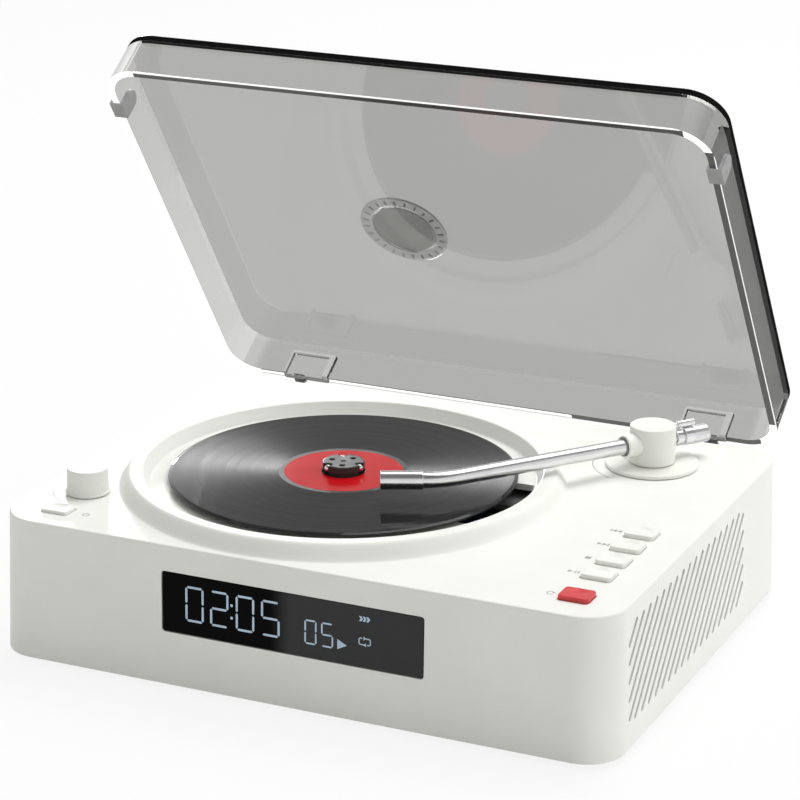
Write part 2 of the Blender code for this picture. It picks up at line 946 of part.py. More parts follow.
def disc_and_hub():
    turned("disc", [
        (disc_bore, disc_top),
        (disc_radius, disc_top),
        (disc_radius, disc_under),
        (disc_bore, disc_under),
    ], disc_axis, (0, 0, 0), black_disc, steps=large_steps, closed=True)
    shaft_bore = spindle_shaft_radius + fit_gap
    platter_low = platter_top - platter_thickness
    hub = turned("spindle_hub", [
        (0, hub_top),
        (hub_radius - hub_edge, hub_top),
        (hub_radius, hub_top - hub_edge),
        (hub_radius, platter_top),
        (platter_radius, platter_top),
        (platter_radius, platter_low),
        (hub_boss_radius, platter_low),
        (hub_boss_radius, platter_low - hub_boss_length),
        (shaft_bore, platter_low - hub_boss_length),
        (shaft_bore, disc_top),
        (0, disc_top),
    ], disc_axis, (0, 0, 0), grey_plastic)
    ball_z = hub_top - ball_drop
    for index in range(ball_count):
        angle = ball_first_angle + math.tau * index / ball_count
        x = ball_circle * math.cos(angle)
        y = ball_circle * math.sin(angle)
        cut(hub, upright(
            "ball_pocket_%d" % index, x, y, ball_z - ball_radius - fit_gap, hub_top + cut_overrun,
            ball_radius + fit_gap, disc_axis, steps=small_steps,
        ))
        bm = bmesh.new()
        bmesh.ops.create_uvsphere(bm, u_segments=tiny_steps, v_segments=tiny_steps // 2, radius=ball_radius)
        ball = add_piece("hub_ball_%d" % (index + 1), bm, disc_axis, (x, y, ball_z), chrome)
        ball.data.shade_smooth()


def mechanism():
    chassis = block(
        "mechanism_chassis", (-chassis_left, -chassis_half_depth, chassis_low),
        (chassis_right, chassis_half_depth, chassis_top), disc_axis, grey_plastic,
    )
    inner = chassis_wall
    cut(chassis, block(
        "chassis_hollow",
        (-chassis_left + inner, -chassis_half_depth + inner, chassis_low - cut_overrun),
        (chassis_right - inner, chassis_half_depth - inner, chassis_under), disc_axis,
    ))
    reach = head_half_length + head_clearance
    half_depth = head_half_depth + head_clearance
    cut(chassis, block(
        "head_opening",
        (sled_first_x - reach, -half_depth, chassis_under - cut_overrun),
        (sled_first_x + sled_travel + reach, half_depth, chassis_top + cut_overrun),
        disc_axis,
    ))
    cut(chassis, upright(
        "shaft_hole", 0, 0, chassis_under - cut_overrun, chassis_top + cut_overrun,
        hub_boss_radius, disc_axis,
    ))
    damper_low = chassis_top + fit_gap
    damper_high = floor_under - fit_gap
    dampers = (
        ("damper_rear_left", damper_left_x, damper_y),
        ("damper_rear_right", damper_right_x, damper_y),
        ("damper_front", damper_front_x, -damper_y),
    )
    for name, x, y in dampers:
        turned(name, [
            (damper_bore, damper_high),
            (damper_radius, damper_high),
            (damper_radius, damper_low),
            (damper_bore, damper_low),
        ], disc_axis, (x, y, 0), black_rubber, steps=tiny_steps, closed=True)
    motor_top = chassis_under - fit_gap
    turned("spindle_motor", [
        (0, disc_top - fit_gap),
        (spindle_shaft_radius, disc_top - fit_gap),
        (spindle_shaft_radius, motor_top),
        (spindle_motor_radius, motor_top),
        (spindle_motor_radius, motor_top - spindle_motor_height),
        (0, motor_top - spindle_motor_height),
    ], disc_axis, (0, 0, 0), steel, steps=small_steps)
    sled_and_guides()


def sled_and_guides():
    sled = block(
        "pickup_sled", (sled_first_x - sled_half_length, -sled_front, sled_low),
        (sled_first_x + sled_half_length, sled_back, sled_high), disc_axis, dark_plastic,
    )
    join(sled, block(
        "sled_head", *around(sled_first_x, 0, head_half_length, head_half_depth, rod_z, head_top), disc_axis,
    ))
    start = -chassis_left + chassis_wall + fit_gap
    end = chassis_right - chassis_wall - fit_gap
    bars = (
        ("guide_rod_front", start, -rod_y),
        ("guide_rod_rear", start, rod_y),
        ("lead_screw", start + sled_motor_length + fit_gap, screw_y),
    )
    for name, first, y in bars:
        rod(name, (first, y, rod_z), (end, y, rod_z), rod_radius, disc_axis, steel, steps=tiny_steps)
        cut(sled, rod(
            name + "_bore",
            (sled_first_x - sled_half_length - cut_overrun, y, rod_z),
            (sled_first_x + sled_half_length + cut_overrun, y, rod_z),
            rod_radius + fit_gap, disc_axis, steps=tiny_steps,
        ))
    rod(
        "sled_motor", (start, screw_y, rod_z), (start + sled_motor_length, screw_y, rod_z),
        sled_motor_radius, disc_axis, steel,
    )
    lens_low = head_top + fit_gap
    upright(
        "pickup_lens", sled_first_x, 0, lens_low, lens_low + lens_height, lens_radius, disc_axis,
        black_glass, steps=tiny_steps,
    )


# Tonearm

def along_arm(distance, rise=0):
    # A point on the arm's line, measured from the pillar's axis
    return Vector((0, 0, arm_height + rise)) + arm_heading * distance


def arm_base():
    top = arm_flange_height
    low = fit_gap
    bore = stem_radius + fit_gap
    turned("tonearm_base", [
        (bore, top),
        (arm_flange_radius, top),
        (arm_flange_foot, low),
        (arm_neck_radius, low),
        (arm_neck_radius, -arm_neck_drop),
        (bore, -arm_neck_drop),
    ], arm_axis, (0, 0, 0), white_plastic, closed=True)
    high = deck_z - stem_drop - fit_gap
    half = arm_switch_side / 2
    block(
        "tonearm_switch", *around(arm_x, arm_y, half, half, high - arm_switch_height, high), player,
        dark_plastic,
    )


def pillar():
    low = arm_flange_height + fit_gap
    piece = turned("tonearm_pillar", [
        (0, pillar_height),
        (pillar_radius - pillar_edge, pillar_height),
        (pillar_radius, pillar_height - pillar_edge),
        (pillar_radius, low),
        (stem_radius, low),
        (stem_radius, -stem_drop),
        (0, -stem_drop),
    ], arm_axis, (0, 0, 0), white_plastic)
    join(piece, rod("collar", along_arm(pillar_radius / 2), along_arm(collar_reach), collar_radius, arm_axis))
    beyond = collar_reach + cut_overrun
    cut(piece, rod(
        "collar_recess", along_arm(collar_recess_floor), along_arm(beyond), collar_recess_radius, arm_axis,
    ))
    behind = -pillar_radius - cut_overrun
    cut(piece, rod(
        "weight_socket", along_arm(-weight_stem_start + fit_gap), along_arm(behind),
        weight_stem_radius + fit_gap, arm_axis,
    ))
    cut(piece, rod(
        "trim_socket", along_arm(-trim_stem_start + fit_gap, trim_rise), along_arm(behind, trim_rise),
        trim_stem_radius + fit_gap, arm_axis, steps=tiny_steps,
    ))


def arm_tube():
    # A straight run from the pillar, a smooth bend, and a short level run to the headshell
    bend = Vector((-bend_left, -bend_front, bend_height))
    shell = Vector((-headshell_left, -headshell_front, bend_height))
    tip = Vector((-headshell_tip_left, -headshell_tip_front, bend_height))
    shell_heading = (tip - shell).normalized()
    before = bend - arm_heading * bend_length
    after = bend + (shell - bend).normalized() * bend_length
    points = [along_arm(collar_recess_floor + fit_gap)]
    for step in range(bend_steps + 1):
        share = step / bend_steps
        points.append(before.lerp(bend, share).lerp(bend.lerp(after, share), share))
    points.append(shell - shell_heading * fit_gap)
    curve = bpy.data.curves.new("tonearm_tube", "CURVE")
    curve.dimensions = "3D"
    curve.bevel_depth = tube_radius
    curve.bevel_resolution = 4
    curve.use_fill_caps = True
    spline = curve.splines.new("POLY")
    spline.points.add(len(points) - 1)
    for target, point in zip(spline.points, points):
        target.co = (*point, 1)
    tube = bpy.data.objects.new("tonearm_tube", curve)
    parts.objects.link(tube)
    tube.parent = arm_axis
    headshell = rod(
        "headshell", shell, tip, headshell_radius, arm_axis, chrome, steps=small_steps, edge=headshell_edge,
    )
    curve.materials.append(headshell.data.materials[0])


def arm_weights():
    weight = rod(
        "counterweight", along_arm(-weight_start), along_arm(-weight_end), weight_radius, arm_axis, chrome,
        steps=small_steps, edge=headshell_edge,
    )
    join(weight, rod(
        "weight_neck", along_arm(-weight_neck_start), along_arm(-weight_start - weight_radius / 2),
        weight_neck_radius, arm_axis,
    ))
    join(weight, rod(
        "weight_stem", along_arm(-weight_stem_start), along_arm(-weight_start), weight_stem_radius, arm_axis,
    ))
    trim = rod(
        "trim_weight", along_arm(-trim_start, trim_rise), along_arm(-trim_end, trim_rise), trim_radius,
        arm_axis, chrome, steps=tiny_steps,
    )
    join(trim, rod(
        "trim_stem", along_arm(-trim_stem_start, trim_rise),
        along_arm(-trim_start - trim_radius, trim_rise), trim_stem_radius, arm_axis, steps=tiny_steps,
    ))


# Lid, modelled closed and carried open by the hinge frame

def lid():
    half = lid_width / 2
    cover = block(
        "lid", (-half, front_y, rim_z), (half, rear_y, panel_z), hinge_axis, smoky_plastic,
        corner=lid_corner, edge=lid_edge,
    )
    cut(cover, block(
        "lid_hollow", (-half + lid_wall, front_y + lid_wall, rim_z - cut_overrun),
        (half - lid_wall, rear_y - lid_wall, panel_z - lid_panel), hinge_axis,
        corner=lid_corner - lid_wall,
    ))
    lug_low = rim_z - lug_below_rim
    for name, (x_low, x_high), reach in lugs():
        join(cover, block(
            name + "_lug", (x_low, rear_y - reach, lug_low),
            (x_high, rear_y - lug_wall_overlap, rim_z + lug_above_rim), hinge_axis,
        ))
        join(cover, block(
            name + "_lug_arm", (x_low + fit_gap, rear_y - lid_wall, lug_low + fit_gap),
            (x_high - fit_gap, 0, knuckle_top), hinge_axis,
        ))
        join(cover, rod(
            name + "_knuckle", (x_low + fit_gap / 2, 0, 0), (x_high - fit_gap / 2, 0, 0), knuckle_radius,
            hinge_axis,
        ))
        cut(cover, rod(
            name + "_lid_bore", (x_low - cut_overrun, 0, 0), (x_high + cut_overrun, 0, 0),
            pin_radius + fit_gap, hinge_axis, steps=tiny_steps,
        ))


def hinges():
    pin_axis = (hinge_y, hinge_z)
    for name, (x_low, x_high), reach in lugs():
        start = (x_low - pin_overhang, *pin_axis)
        end = (x_high + pin_overhang, *pin_axis)
        rod("hinge_pin_" + name, start, end, pin_radius, player, steel, steps=tiny_steps)
        top = deck_under - fit_gap
        bracket = block(
            "hinge_bracket_" + name,
            (x_low - bracket_side, hinge_y - bracket_front, top - bracket_height),
            (x_high + bracket_side, hinge_y + bracket_rear, top), player, dark_plastic,
        )
        side = bracket_pocket_side
        cut(bracket, block(
            name + "_bracket_pocket",
            (x_low - side, hinge_y - bracket_pocket_front, hinge_z - bracket_pocket_floor),
            (x_high + side, hinge_y + bracket_rear + cut_overrun, top + cut_overrun), player,
        ))
        over = cut_overrun
        cut(bracket, rod(
            name + "_bracket_bore", (x_low - pin_overhang - fit_gap, *pin_axis),
            (x_high + pin_overhang + fit_gap, *pin_axis), pin_radius + fit_gap, player, steps=tiny_steps,
        ))
        notch = pin_radius + fit_gap
        cut(bracket, block(
            name + "_bracket_notch", (x_low - pin_overhang - fit_gap, hinge_y, hinge_z - notch),
            (x_high + pin_overhang + fit_gap, hinge_y + over, hinge_z + notch), player,
        ))


def badge():
    low = panel_z + fit_gap
    top = low + badge_thickness
    turned("lid_badge", [
        (0, top - badge_dish),
        (badge_inner_radius, top - badge_dish),
        (badge_inner_radius + badge_dish, top),
        (badge_radius - badge_dish, top),
        (badge_radius, low),
        (0, low),
    ], hinge_axis, (badge_x, rear_y - badge_reach, 0), grey_plastic)


def bumpers():
    # Clips over the side rims, with a thin pad under the rim and a round tab outside
    half = lid_width / 2
    inner_face = half - lid_wall - fit_gap
    outer_face = half + fit_gap
    front = front_y + bumper_front_inset
    back = front + bumper_length
    pad_top = rim_z - fit_gap
    pad_low = pad_top - bumper_base
    for name, side in (("left", -1), ("right", 1)):
        ends = sorted((side * (inner_face - bumper_inner), side * (outer_face + bumper_outer)))
        clip = block(
            "lid_bumper_" + name, (ends[0], front, pad_low), (ends[1], back, rim_z + bumper_height),
            hinge_axis, grey_plastic,
        )
        tab_y = front_y + bumper_tab_inset
        tab_z = pad_top + bumper_tab_height
        join(clip, rod(
            name + "_bumper_tab", (side * (outer_face - fit_gap), tab_y, tab_z),
            (side * (outer_face + bumper_outer), tab_y, tab_z), bumper_tab_radius, hinge_axis,
        ))
        slot = sorted((side * inner_face, side * outer_face))
        cut(clip, block(
            name + "_bumper_slot", (slot[0], front - cut_overrun, pad_top),
            (slot[1], back + cut_overrun, panel_z), hinge_axis,
        ))


# Inside the case

def main_board():
    top = main_board_z + board_thickness
    half_x = main_board_width / 2
    half_y = main_board_depth / 2
    corners = around(main_board_x, main_board_y, half_x, half_y, main_board_z, top)
    board = block("main_board", *corners, player, green_board)
    seat = top - part_sink
    chip = chip_width / 2
    for index, x in enumerate((main_board_x - half_x / 2, main_board_x)):
        corners = around(x, main_board_y, chip, chip, seat, top + chip_height)
        join(board, block("chip_%d" % index, *corners, player))
    for index, y in enumerate((main_board_y - chip_width, main_board_y + chip_width)):
        join(board, upright(
            "capacitor_%d" % index, main_board_x + half_x / 2, y, seat, top + capacitor_height,
            capacitor_radius, player, steps=tiny_steps,
        ))
    y = main_board_y - half_y + chip_width
    corners = around(main_board_x, y, connector_width / 2, connector_depth / 2, seat, top + connector_height)
    join(board, block("connector", *corners, player))


def battery_pack():
    low = cover_top + fit_gap
    y = body_depth / 2 - battery_rear_inset - battery_depth / 2
    corners = around(battery_x, y, battery_width / 2, battery_depth / 2, low, low + battery_height)
    block("battery_pack", *corners, player, battery_wrap, edge=battery_edge)


def speakers():
    profile = [
        (0, -speaker_dish),
        (speaker_cone_radius, -speaker_dish / 2),
        (speaker_cone_radius, 0),
        (speaker_radius, 0),
        (speaker_radius, -speaker_rim),
        (speaker_cone_radius, -speaker_rim - speaker_dish),
        (speaker_magnet_radius, -speaker_basket),
        (speaker_magnet_radius, -speaker_depth),
        (0, -speaker_depth),
    ]
    for name, side in (("right", 1), ("left", -1)):
        tilt = side * (math.radians(90) - draft_angle)
        inward = (wall + fit_gap) * math.cos(draft_angle)
        place = (side * (wall_x(speaker_z) - inward), speaker_y, speaker_z)
        driver = turned("speaker_" + name, profile, player, place, dark_plastic, steps=small_steps)
        driver.rotation_euler = (0, tilt, 0)


def power_inlet():
    # A round socket in the rear wall, with a centre pin and a block behind it
    face = wall_y(inlet_z + inlet_radius) - fit_gap
    block_rear = wall_y(deck_z) - wall - fit_gap
    half = inlet_side / 2
    inlet = block(
        "dc_inlet", (inlet_x - half, block_rear - inlet_depth, inlet_z - half),
        (inlet_x + half, block_rear, inlet_z + half), player, dark_plastic,
    )
    join(inlet, rod(
        "inlet_neck", (inlet_x, block_rear - wall, inlet_z), (inlet_x, face, inlet_z), inlet_radius, player,
    ))
    floor = face - inlet_bore_depth
    cut(inlet, rod(
        "inlet_bore", (inlet_x, floor, inlet_z), (inlet_x, face + cut_overrun, inlet_z),
        inlet_bore_radius, player,
    ))
    join(inlet, rod(
        "inlet_pin", (inlet_x, floor - fit_gap, inlet_z), (inlet_x, face - wall, inlet_z), inlet_pin_radius,
        player, steps=tiny_steps,
    ))


top_case()
bottom_cover()
feet_and_screws()
display()
for button_row in button_rows():
    push_button(*button_row)
boards_of_buttons()
volume()
disc_and_hub()
mechanism()
arm_base()
pillar()
arm_tube()
arm_weights()
lid()
hinges()
badge()
bumpers()
main_board()
battery_pack()
speakers()
power_inlet()
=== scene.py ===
import json
import math
import bmesh
import bpy
from mathutils import Matrix, Vector

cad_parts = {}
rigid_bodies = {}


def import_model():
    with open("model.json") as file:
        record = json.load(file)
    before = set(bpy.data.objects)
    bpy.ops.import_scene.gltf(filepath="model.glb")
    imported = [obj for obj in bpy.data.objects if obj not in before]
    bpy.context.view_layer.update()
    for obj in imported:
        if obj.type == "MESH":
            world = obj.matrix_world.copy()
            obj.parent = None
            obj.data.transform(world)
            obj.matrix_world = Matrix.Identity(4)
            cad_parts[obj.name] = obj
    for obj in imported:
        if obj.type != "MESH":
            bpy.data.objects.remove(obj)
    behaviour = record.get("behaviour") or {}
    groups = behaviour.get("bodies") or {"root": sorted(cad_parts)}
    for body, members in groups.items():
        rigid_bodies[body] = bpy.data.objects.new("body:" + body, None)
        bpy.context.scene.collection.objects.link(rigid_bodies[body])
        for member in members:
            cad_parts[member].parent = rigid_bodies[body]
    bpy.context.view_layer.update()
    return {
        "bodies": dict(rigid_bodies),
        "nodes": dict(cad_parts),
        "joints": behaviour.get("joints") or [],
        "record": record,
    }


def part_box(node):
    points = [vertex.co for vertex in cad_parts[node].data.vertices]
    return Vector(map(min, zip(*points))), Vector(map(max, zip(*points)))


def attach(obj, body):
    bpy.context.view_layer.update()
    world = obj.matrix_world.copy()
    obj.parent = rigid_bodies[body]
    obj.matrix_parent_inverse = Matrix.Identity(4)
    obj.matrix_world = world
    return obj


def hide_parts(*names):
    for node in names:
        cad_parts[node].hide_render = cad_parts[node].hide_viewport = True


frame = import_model()
joints = {joint["name"]: joint for joint in frame["joints"]}
print("frame loaded")


# Modelling helpers

near = 1e-7  # points closer than this share a height or a place
mergeGap = 0.000002
moved = Matrix.Translation


def turned(degrees, axis):
    return Matrix.Rotation(math.radians(degrees), 4, axis)


def clearSelection():
    if bpy.context.object and bpy.context.object.mode != "OBJECT":
        bpy.ops.object.mode_set(mode="OBJECT")
    bpy.ops.object.select_all(action="DESELECT")


def makeActive(piece):
    clearSelection()
    piece.select_set(True)
    bpy.context.view_layer.objects.active = piece


def endEdit():
    bpy.ops.object.mode_set(mode="OBJECT")


def selectAll():
    bpy.ops.mesh.select_all(action="SELECT")


def added(name):
    # the object that was just added
    bpy.context.object.name = name
    return bpy.context.object


def startEdit(piece, kind, action="DESELECT"):
    makeActive(piece)
    bpy.ops.object.mode_set(mode="EDIT")
    bpy.ops.mesh.select_mode(type=kind)
    bpy.ops.mesh.select_all(action=action)


def pick(piece, kind, wanted):
    # selects the edges or faces that fit
    startEdit(piece, kind)
    mesh = bmesh.from_edit_mesh(piece.data)
    for edge in mesh.edges if kind == "EDGE" else ():
        if wanted(edge.verts[0].co, edge.verts[1].co):
            edge.select_set(True)
    for face in mesh.faces if kind == "FACE" else ():
        if wanted(face.calc_center_median(), face.normal):
            face.select_set(True)
    bmesh.update_edit_mesh(piece.data)


def bevelEdges(piece, wanted, width, steps):
    pick(piece, "EDGE", wanted)
    bpy.ops.mesh.bevel(offset=width, segments=steps, profile=0.5, affect="EDGES")
    endEdit()


def bevelTop(piece, height, width, steps):
    bevelEdges(piece, lambda a, b: min(a.z, b.z) > height - near, width, steps)


def bevelBottom(piece, height, width, steps):
    bevelEdges(piece, lambda a, b: max(a.z, b.z) < height + near, width, steps)


def setPlace(piece, matrix):
    # puts the piece there and writes the place into its mesh
    makeActive(piece)
    piece.matrix_world = matrix
    bpy.ops.object.transform_apply(location=True, rotation=True, scale=True)
    return piece


def box(name, low, high):
    clearSelection()
    low, high = Vector(low), Vector(high)
    bpy.ops.mesh.primitive_cube_add(size=1, location=(low + high) / 2)
    piece = added(name)
    piece.scale = high - low
    bpy.ops.object.transform_apply(location=True, rotation=True, scale=True)
    return piece


def softBox(name, low, high, corner, rim, cornerSteps=10, rimSteps=3, bottomRim=0):
    # a box with round upright corners and softened rims
    piece = box(name, low, high)
    if corner:
        bevelEdges(piece, lambda a, b: abs(a.x - b.x) < near and abs(a.y - b.y) < near, corner, cornerSteps)
    if rim:
        bevelTop(piece, high[2], rim, rimSteps)
    if bottomRim:
        bevelBottom(piece, low[2], bottomRim, rimSteps)
    return piece


def drawnLine(name, points):
    # one vertex pulled from point to point; the piece stays in edit mode
    clearSelection()
    bpy.ops.mesh.primitive_plane_add(size=0.001, location=(0, 0, 0))
    piece = added(name)
    bpy.ops.object.mode_set(mode="EDIT")
    bpy.ops.mesh.select_mode(type="VERT")
    selectAll()
    bpy.ops.mesh.merge(type="CENTER")
    bpy.ops.transform.translate(value=points[0])
    for before, after in zip(points, points[1:]):
        pull = Vector(after) - Vector(before)
        bpy.ops.mesh.extrude_region_move(TRANSFORM_OT_translate={"value": pull})
    return piece


def closeMesh():
    selectAll()
    bpy.ops.mesh.remove_doubles(threshold=mergeGap)
    bpy.ops.mesh.normals_make_consistent(inside=False)
    endEdit()


def rounded(profile, steps=4):
    # (radius, height, fillet) points; a fillet above 0 turns that corner into an arc
    points = []
    for index, point in enumerate(profile):
        here = Vector(point[:2])
        fillet = point[2] if len(point) > 2 else 0
        if not fillet or index in (0, len(profile) - 1):
            points.append((here.x, 0, here.y))
            continue
        back = (Vector(profile[index - 1][:2]) - here).normalized()
        ahead = (Vector(profile[index + 1][:2]) - here).normalized()
        half = back.angle(ahead) / 2
        reach = fillet / math.tan(half)
        centre = here + (back + ahead).normalized() * fillet / math.sin(half)
        first = here + back * reach - centre
        turn = first.angle_signed(here + ahead * reach - centre)
        for step in range(steps + 1):
            spoke = Matrix.Rotation(-turn * step / steps, 2) @ first
            points.append((centre.x + spoke.x, 0, centre.y + spoke.y))
    return points


def pin(radius, low, high):
    # the profile of a plain round bar
    return [(0, low), (radius, low), (radius, high), (0, high)]


def hoop(inner, outer, low, high):
    # the profile of a plain ring
    return [(inner, low), (outer, low), (outer, high), (inner, high), (inner, low)]


def spun(name, profile, steps=96, cornerSteps=4):
    # a profile of radius and height, spun round the upright axis
    piece = drawnLine(name, rounded(profile, cornerSteps))
    selectAll()
    bpy.ops.mesh.spin(steps=steps, angle=math.tau, center=(0, 0, 0), axis=(0, 0, 1))
    closeMesh()
    return piece


def rod(name, start, end, profile, steps=32):
    # a turned bar from start towards end; its profile is radius and distance along
    piece = spun(name, profile, steps, 3)
    heading = (Vector(end) - Vector(start)).to_track_quat("Z", "Y").to_matrix().to_4x4()
    return setPlace(piece, moved(start) @ heading)


def plate(name, outline, low, high):
    # a flat outline pulled up into a plate
    piece = drawnLine(name, [(x, y, low) for x, y in [*outline, outline[0]]])
    selectAll()
    bpy.ops.mesh.remove_doubles(threshold=mergeGap)
    selectAll()
    bpy.ops.mesh.edge_face_add()
    selectAll()
    bpy.ops.mesh.extrude_region_move(TRANSFORM_OT_translate={"value": (0, 0, high - low)})
    closeMesh()
    return piece


def combine(piece, operation, others):
    for other in others:
        makeActive(piece)
        change = piece.modifiers.new("change", "BOOLEAN")
        change.operation = operation
        change.solver = "EXACT"
        change.object = other
        bpy.ops.object.modifier_apply(modifier=change.name)
        bpy.data.objects.remove(other)
    return piece


def cutAway(piece, *cutters):
    return combine(piece, "DIFFERENCE", cutters)


def weld(piece, *others):
    return combine(piece, "UNION", others)


def joined(name, pieces):
    clearSelection()
    for piece in pieces:
        piece.select_set(True)
    bpy.context.view_layer.objects.active = pieces[0]
    if len(pieces) > 1:
        bpy.ops.object.join()
    pieces[0].name = name
    return pieces[0]


def repeated(piece, count):
    # the piece and its copies, each with a mesh of its own
    doubles = [piece]
    for _ in range(count - 1):
        double = piece.copy()
        double.data = piece.data.copy()
        bpy.context.scene.collection.objects.link(double)
        doubles.append(double)
    return doubles


def finished(piece, material, body, slotName, *nodes, degrees=35):
    # smooth shading, material, the body it rides and the CAD nodes it stands for; the slot name is not used
    makeActive(piece)
    bpy.ops.object.shade_smooth_by_angle(angle=math.radians(degrees))
    even = piece.modifiers.new("even", "WEIGHTED_NORMAL")
    even.keep_sharp = True
    bpy.ops.object.modifier_apply(modifier=even.name)
    piece.data.materials.clear()
    piece.data.materials.append(material)
    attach(piece, body)
    if nodes:
        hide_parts(*nodes)
    return piece


def addMaterial(piece, material, wanted):
    # a further material for the faces that fit
    piece.data.materials.append(material)
    last = len(piece.data.materials) - 1
    for face in piece.data.polygons:
        if wanted(face.center, face.normal):
            face.material_index = last


def arc(radius, start, end, steps):
    turns = [math.radians(start + (end - start) * step / steps) for step in range(steps + 1)]
    return [(radius * math.cos(turn), radius * math.sin(turn)) for turn in turns]


# Node helpers

def fill(tree, node, inputs):
    # inputs go by name or in order; each is a value or another node's output
    for key, value in inputs.items() if isinstance(inputs, dict) else enumerate(inputs):
        if hasattr(value, "is_output"):
            tree.links.new(value, node.inputs[key])
        else:
            node.inputs[key].default_value = value


def addNode(tree, kind, inputs=(), **settings):
    node = tree.nodes.new("ShaderNode" + kind)
    for setting, value in settings.items():
        setattr(node, setting, value)
    fill(tree, node, inputs)
    return node


def objectPlace(tree):
    return addNode(tree, "TexCoord").outputs["Object"]


def combined(tree, operation, result, *others):
    # all of them multiplied, or the largest of them
    for other in others:
        result = addNode(tree, "Math", (result, other), operation=operation).outputs[0]
    return result


def ranged(tree, value, start=0, end=1, low=0, high=1, **settings):
    # low at start, high at end
    return addNode(tree, "MapRange", (value, start, end, low, high), **settings).outputs["Result"]


def noise(tree, place, scale, detail, roughness=0.5):
    inputs = {"Vector": place, "Scale": scale, "Detail": detail, "Roughness": roughness}
    return addNode(tree, "TexNoise", inputs).outputs["Fac"]


def colour(shade):
    # a grey is given as one number
    return (*shade, 1) if isinstance(shade, tuple) else (shade, shade, shade, 1)


def colours(tree, factor, *stops):
    # stops are (place, shade)
    ramp = addNode(tree, "ValToRGB", (factor,))
    elements = ramp.color_ramp.elements
    for element, (place, shade) in ((elements[0], stops[0]), (elements[1], stops[-1])):
        element.position = place
        element.color = colour(shade)
    for place, shade in stops[1:-1]:
        elements.new(place).color = colour(shade)
    return ramp.outputs["Color"]


def mixed(tree, factor, first, second):
    return addNode(tree, "Mix", {0: factor, 6: first, 7: second}, data_type="RGBA").outputs[2]


def blend(tree, factor, first, second):
    return addNode(tree, "MixShader", (factor, first.outputs[0], second.outputs[0]))


def toned(tree, skin, dark, light):
    # follows the slow tone of a shared effect
    return colours(tree, skin.outputs["Tone"], (0.3, dark), (0.7, light))


# Shared effects

def newGroup(name, inputs, outputs):
    group = bpy.data.node_groups.new(name, "ShaderNodeTree")
    for label, value in inputs.items():
        kind = "NodeSocketVector" if isinstance(value, tuple) else "NodeSocketFloat"
        group.interface.new_socket(name=label, in_out="INPUT", socket_type=kind).default_value = value
    for label in outputs:
        group.interface.new_socket(name=label, in_out="OUTPUT", socket_type="NodeSocketFloat")
    return group, group.nodes.new("NodeGroupInput").outputs, group.nodes.new("NodeGroupOutput")


def makeMouldedSkin():
    # the fine grain and slow tone of moulded plastic
    group, start, end = newGroup("mouldedSkin", {"Grain Scale": 3000, "Tone Scale": 40}, ("Height", "Tone"))
    place = objectPlace(group)
    grain = noise(group, place, start["Grain Scale"], 2, 0.6)
    tone = noise(group, place, start["Tone Scale"], 3, 0.55)
    fill(group, end, (grain, tone))
    return group


def makeDrawnLines():
    # fine lines left by drawing, turning or wiping; the stretch is per metre along x, y, z
    group, start, end = newGroup("drawnLines", {"Stretch": (4000, 4000, 100)}, ("Height", "Tone"))
    stretch = addNode(group, "VectorMath", (objectPlace(group), start["Stretch"]), operation="MULTIPLY")
    fine = noise(group, stretch.outputs[0], 1, 3)
    slow = noise(group, stretch.outputs[0], 0.13, 2)
    fill(group, end, (fine, slow))
    return group


def makeHandling():
    # faint marks where fingers and dust change the gloss
    group, start, end = newGroup("handling", {"Mark Scale": 90, "Amount": 0.5}, ("Mask",))
    marks = noise(group, objectPlace(group), start["Mark Scale"], 5, 0.65)
    fill(group, end, (combined(group, "MULTIPLY", ranged(group, marks, 0.45, 0.7), start["Amount"]),))
    return group


mouldedSkin = makeMouldedSkin()
drawnLines = makeDrawnLines()
handling = makeHandling()


# Materials

def newMaterial(name):
    material = bpy.data.materials.new(name)
    material.use_nodes = True
    return material, material.node_tree, material.node_tree.nodes["Principled BSDF"]


def effect(tree, group, *values):
    return addNode(tree, "Group", values, node_tree=group)


def bumped(tree, shader, height, strength, distance):
    bump = addNode(tree, "Bump", {"Strength": strength, "Distance": distance, "Height": height})
    fill(tree, shader, {"Normal": bump.outputs["Normal"]})


def moulded(name, dark, light, rough, grain, tone, marks, bump, coat=0, gloss=0.5):
    material, tree, shader = newMaterial(name)
    skin = effect(tree, mouldedSkin, grain, tone)
    worn = effect(tree, handling, marks, 1).outputs["Mask"]
    fill(tree, shader, {
        "Base Color": toned(tree, skin, dark, light), "Roughness": ranged(tree, worn, 0, 1, *rough),
        "Coat Weight": coat, "Coat Roughness": 0.05, "Specular IOR Level": gloss,
    })
    bumped(tree, shader, skin.outputs["Height"], bump, 0.00005)
    return material


def metal(name, dark, light, rough, stretch, bump):
    material, tree, shader = newMaterial(name)
    lines = effect(tree, drawnLines, stretch)
    fill(tree, shader, {
        "Base Color": toned(tree, lines, dark, light), "Metallic": 1,
        "Roughness": ranged(tree, lines.outputs["Height"], 0, 1, *rough),
    })
    bumped(tree, shader, lines.outputs["Height"], bump, 0.00002)
    return material


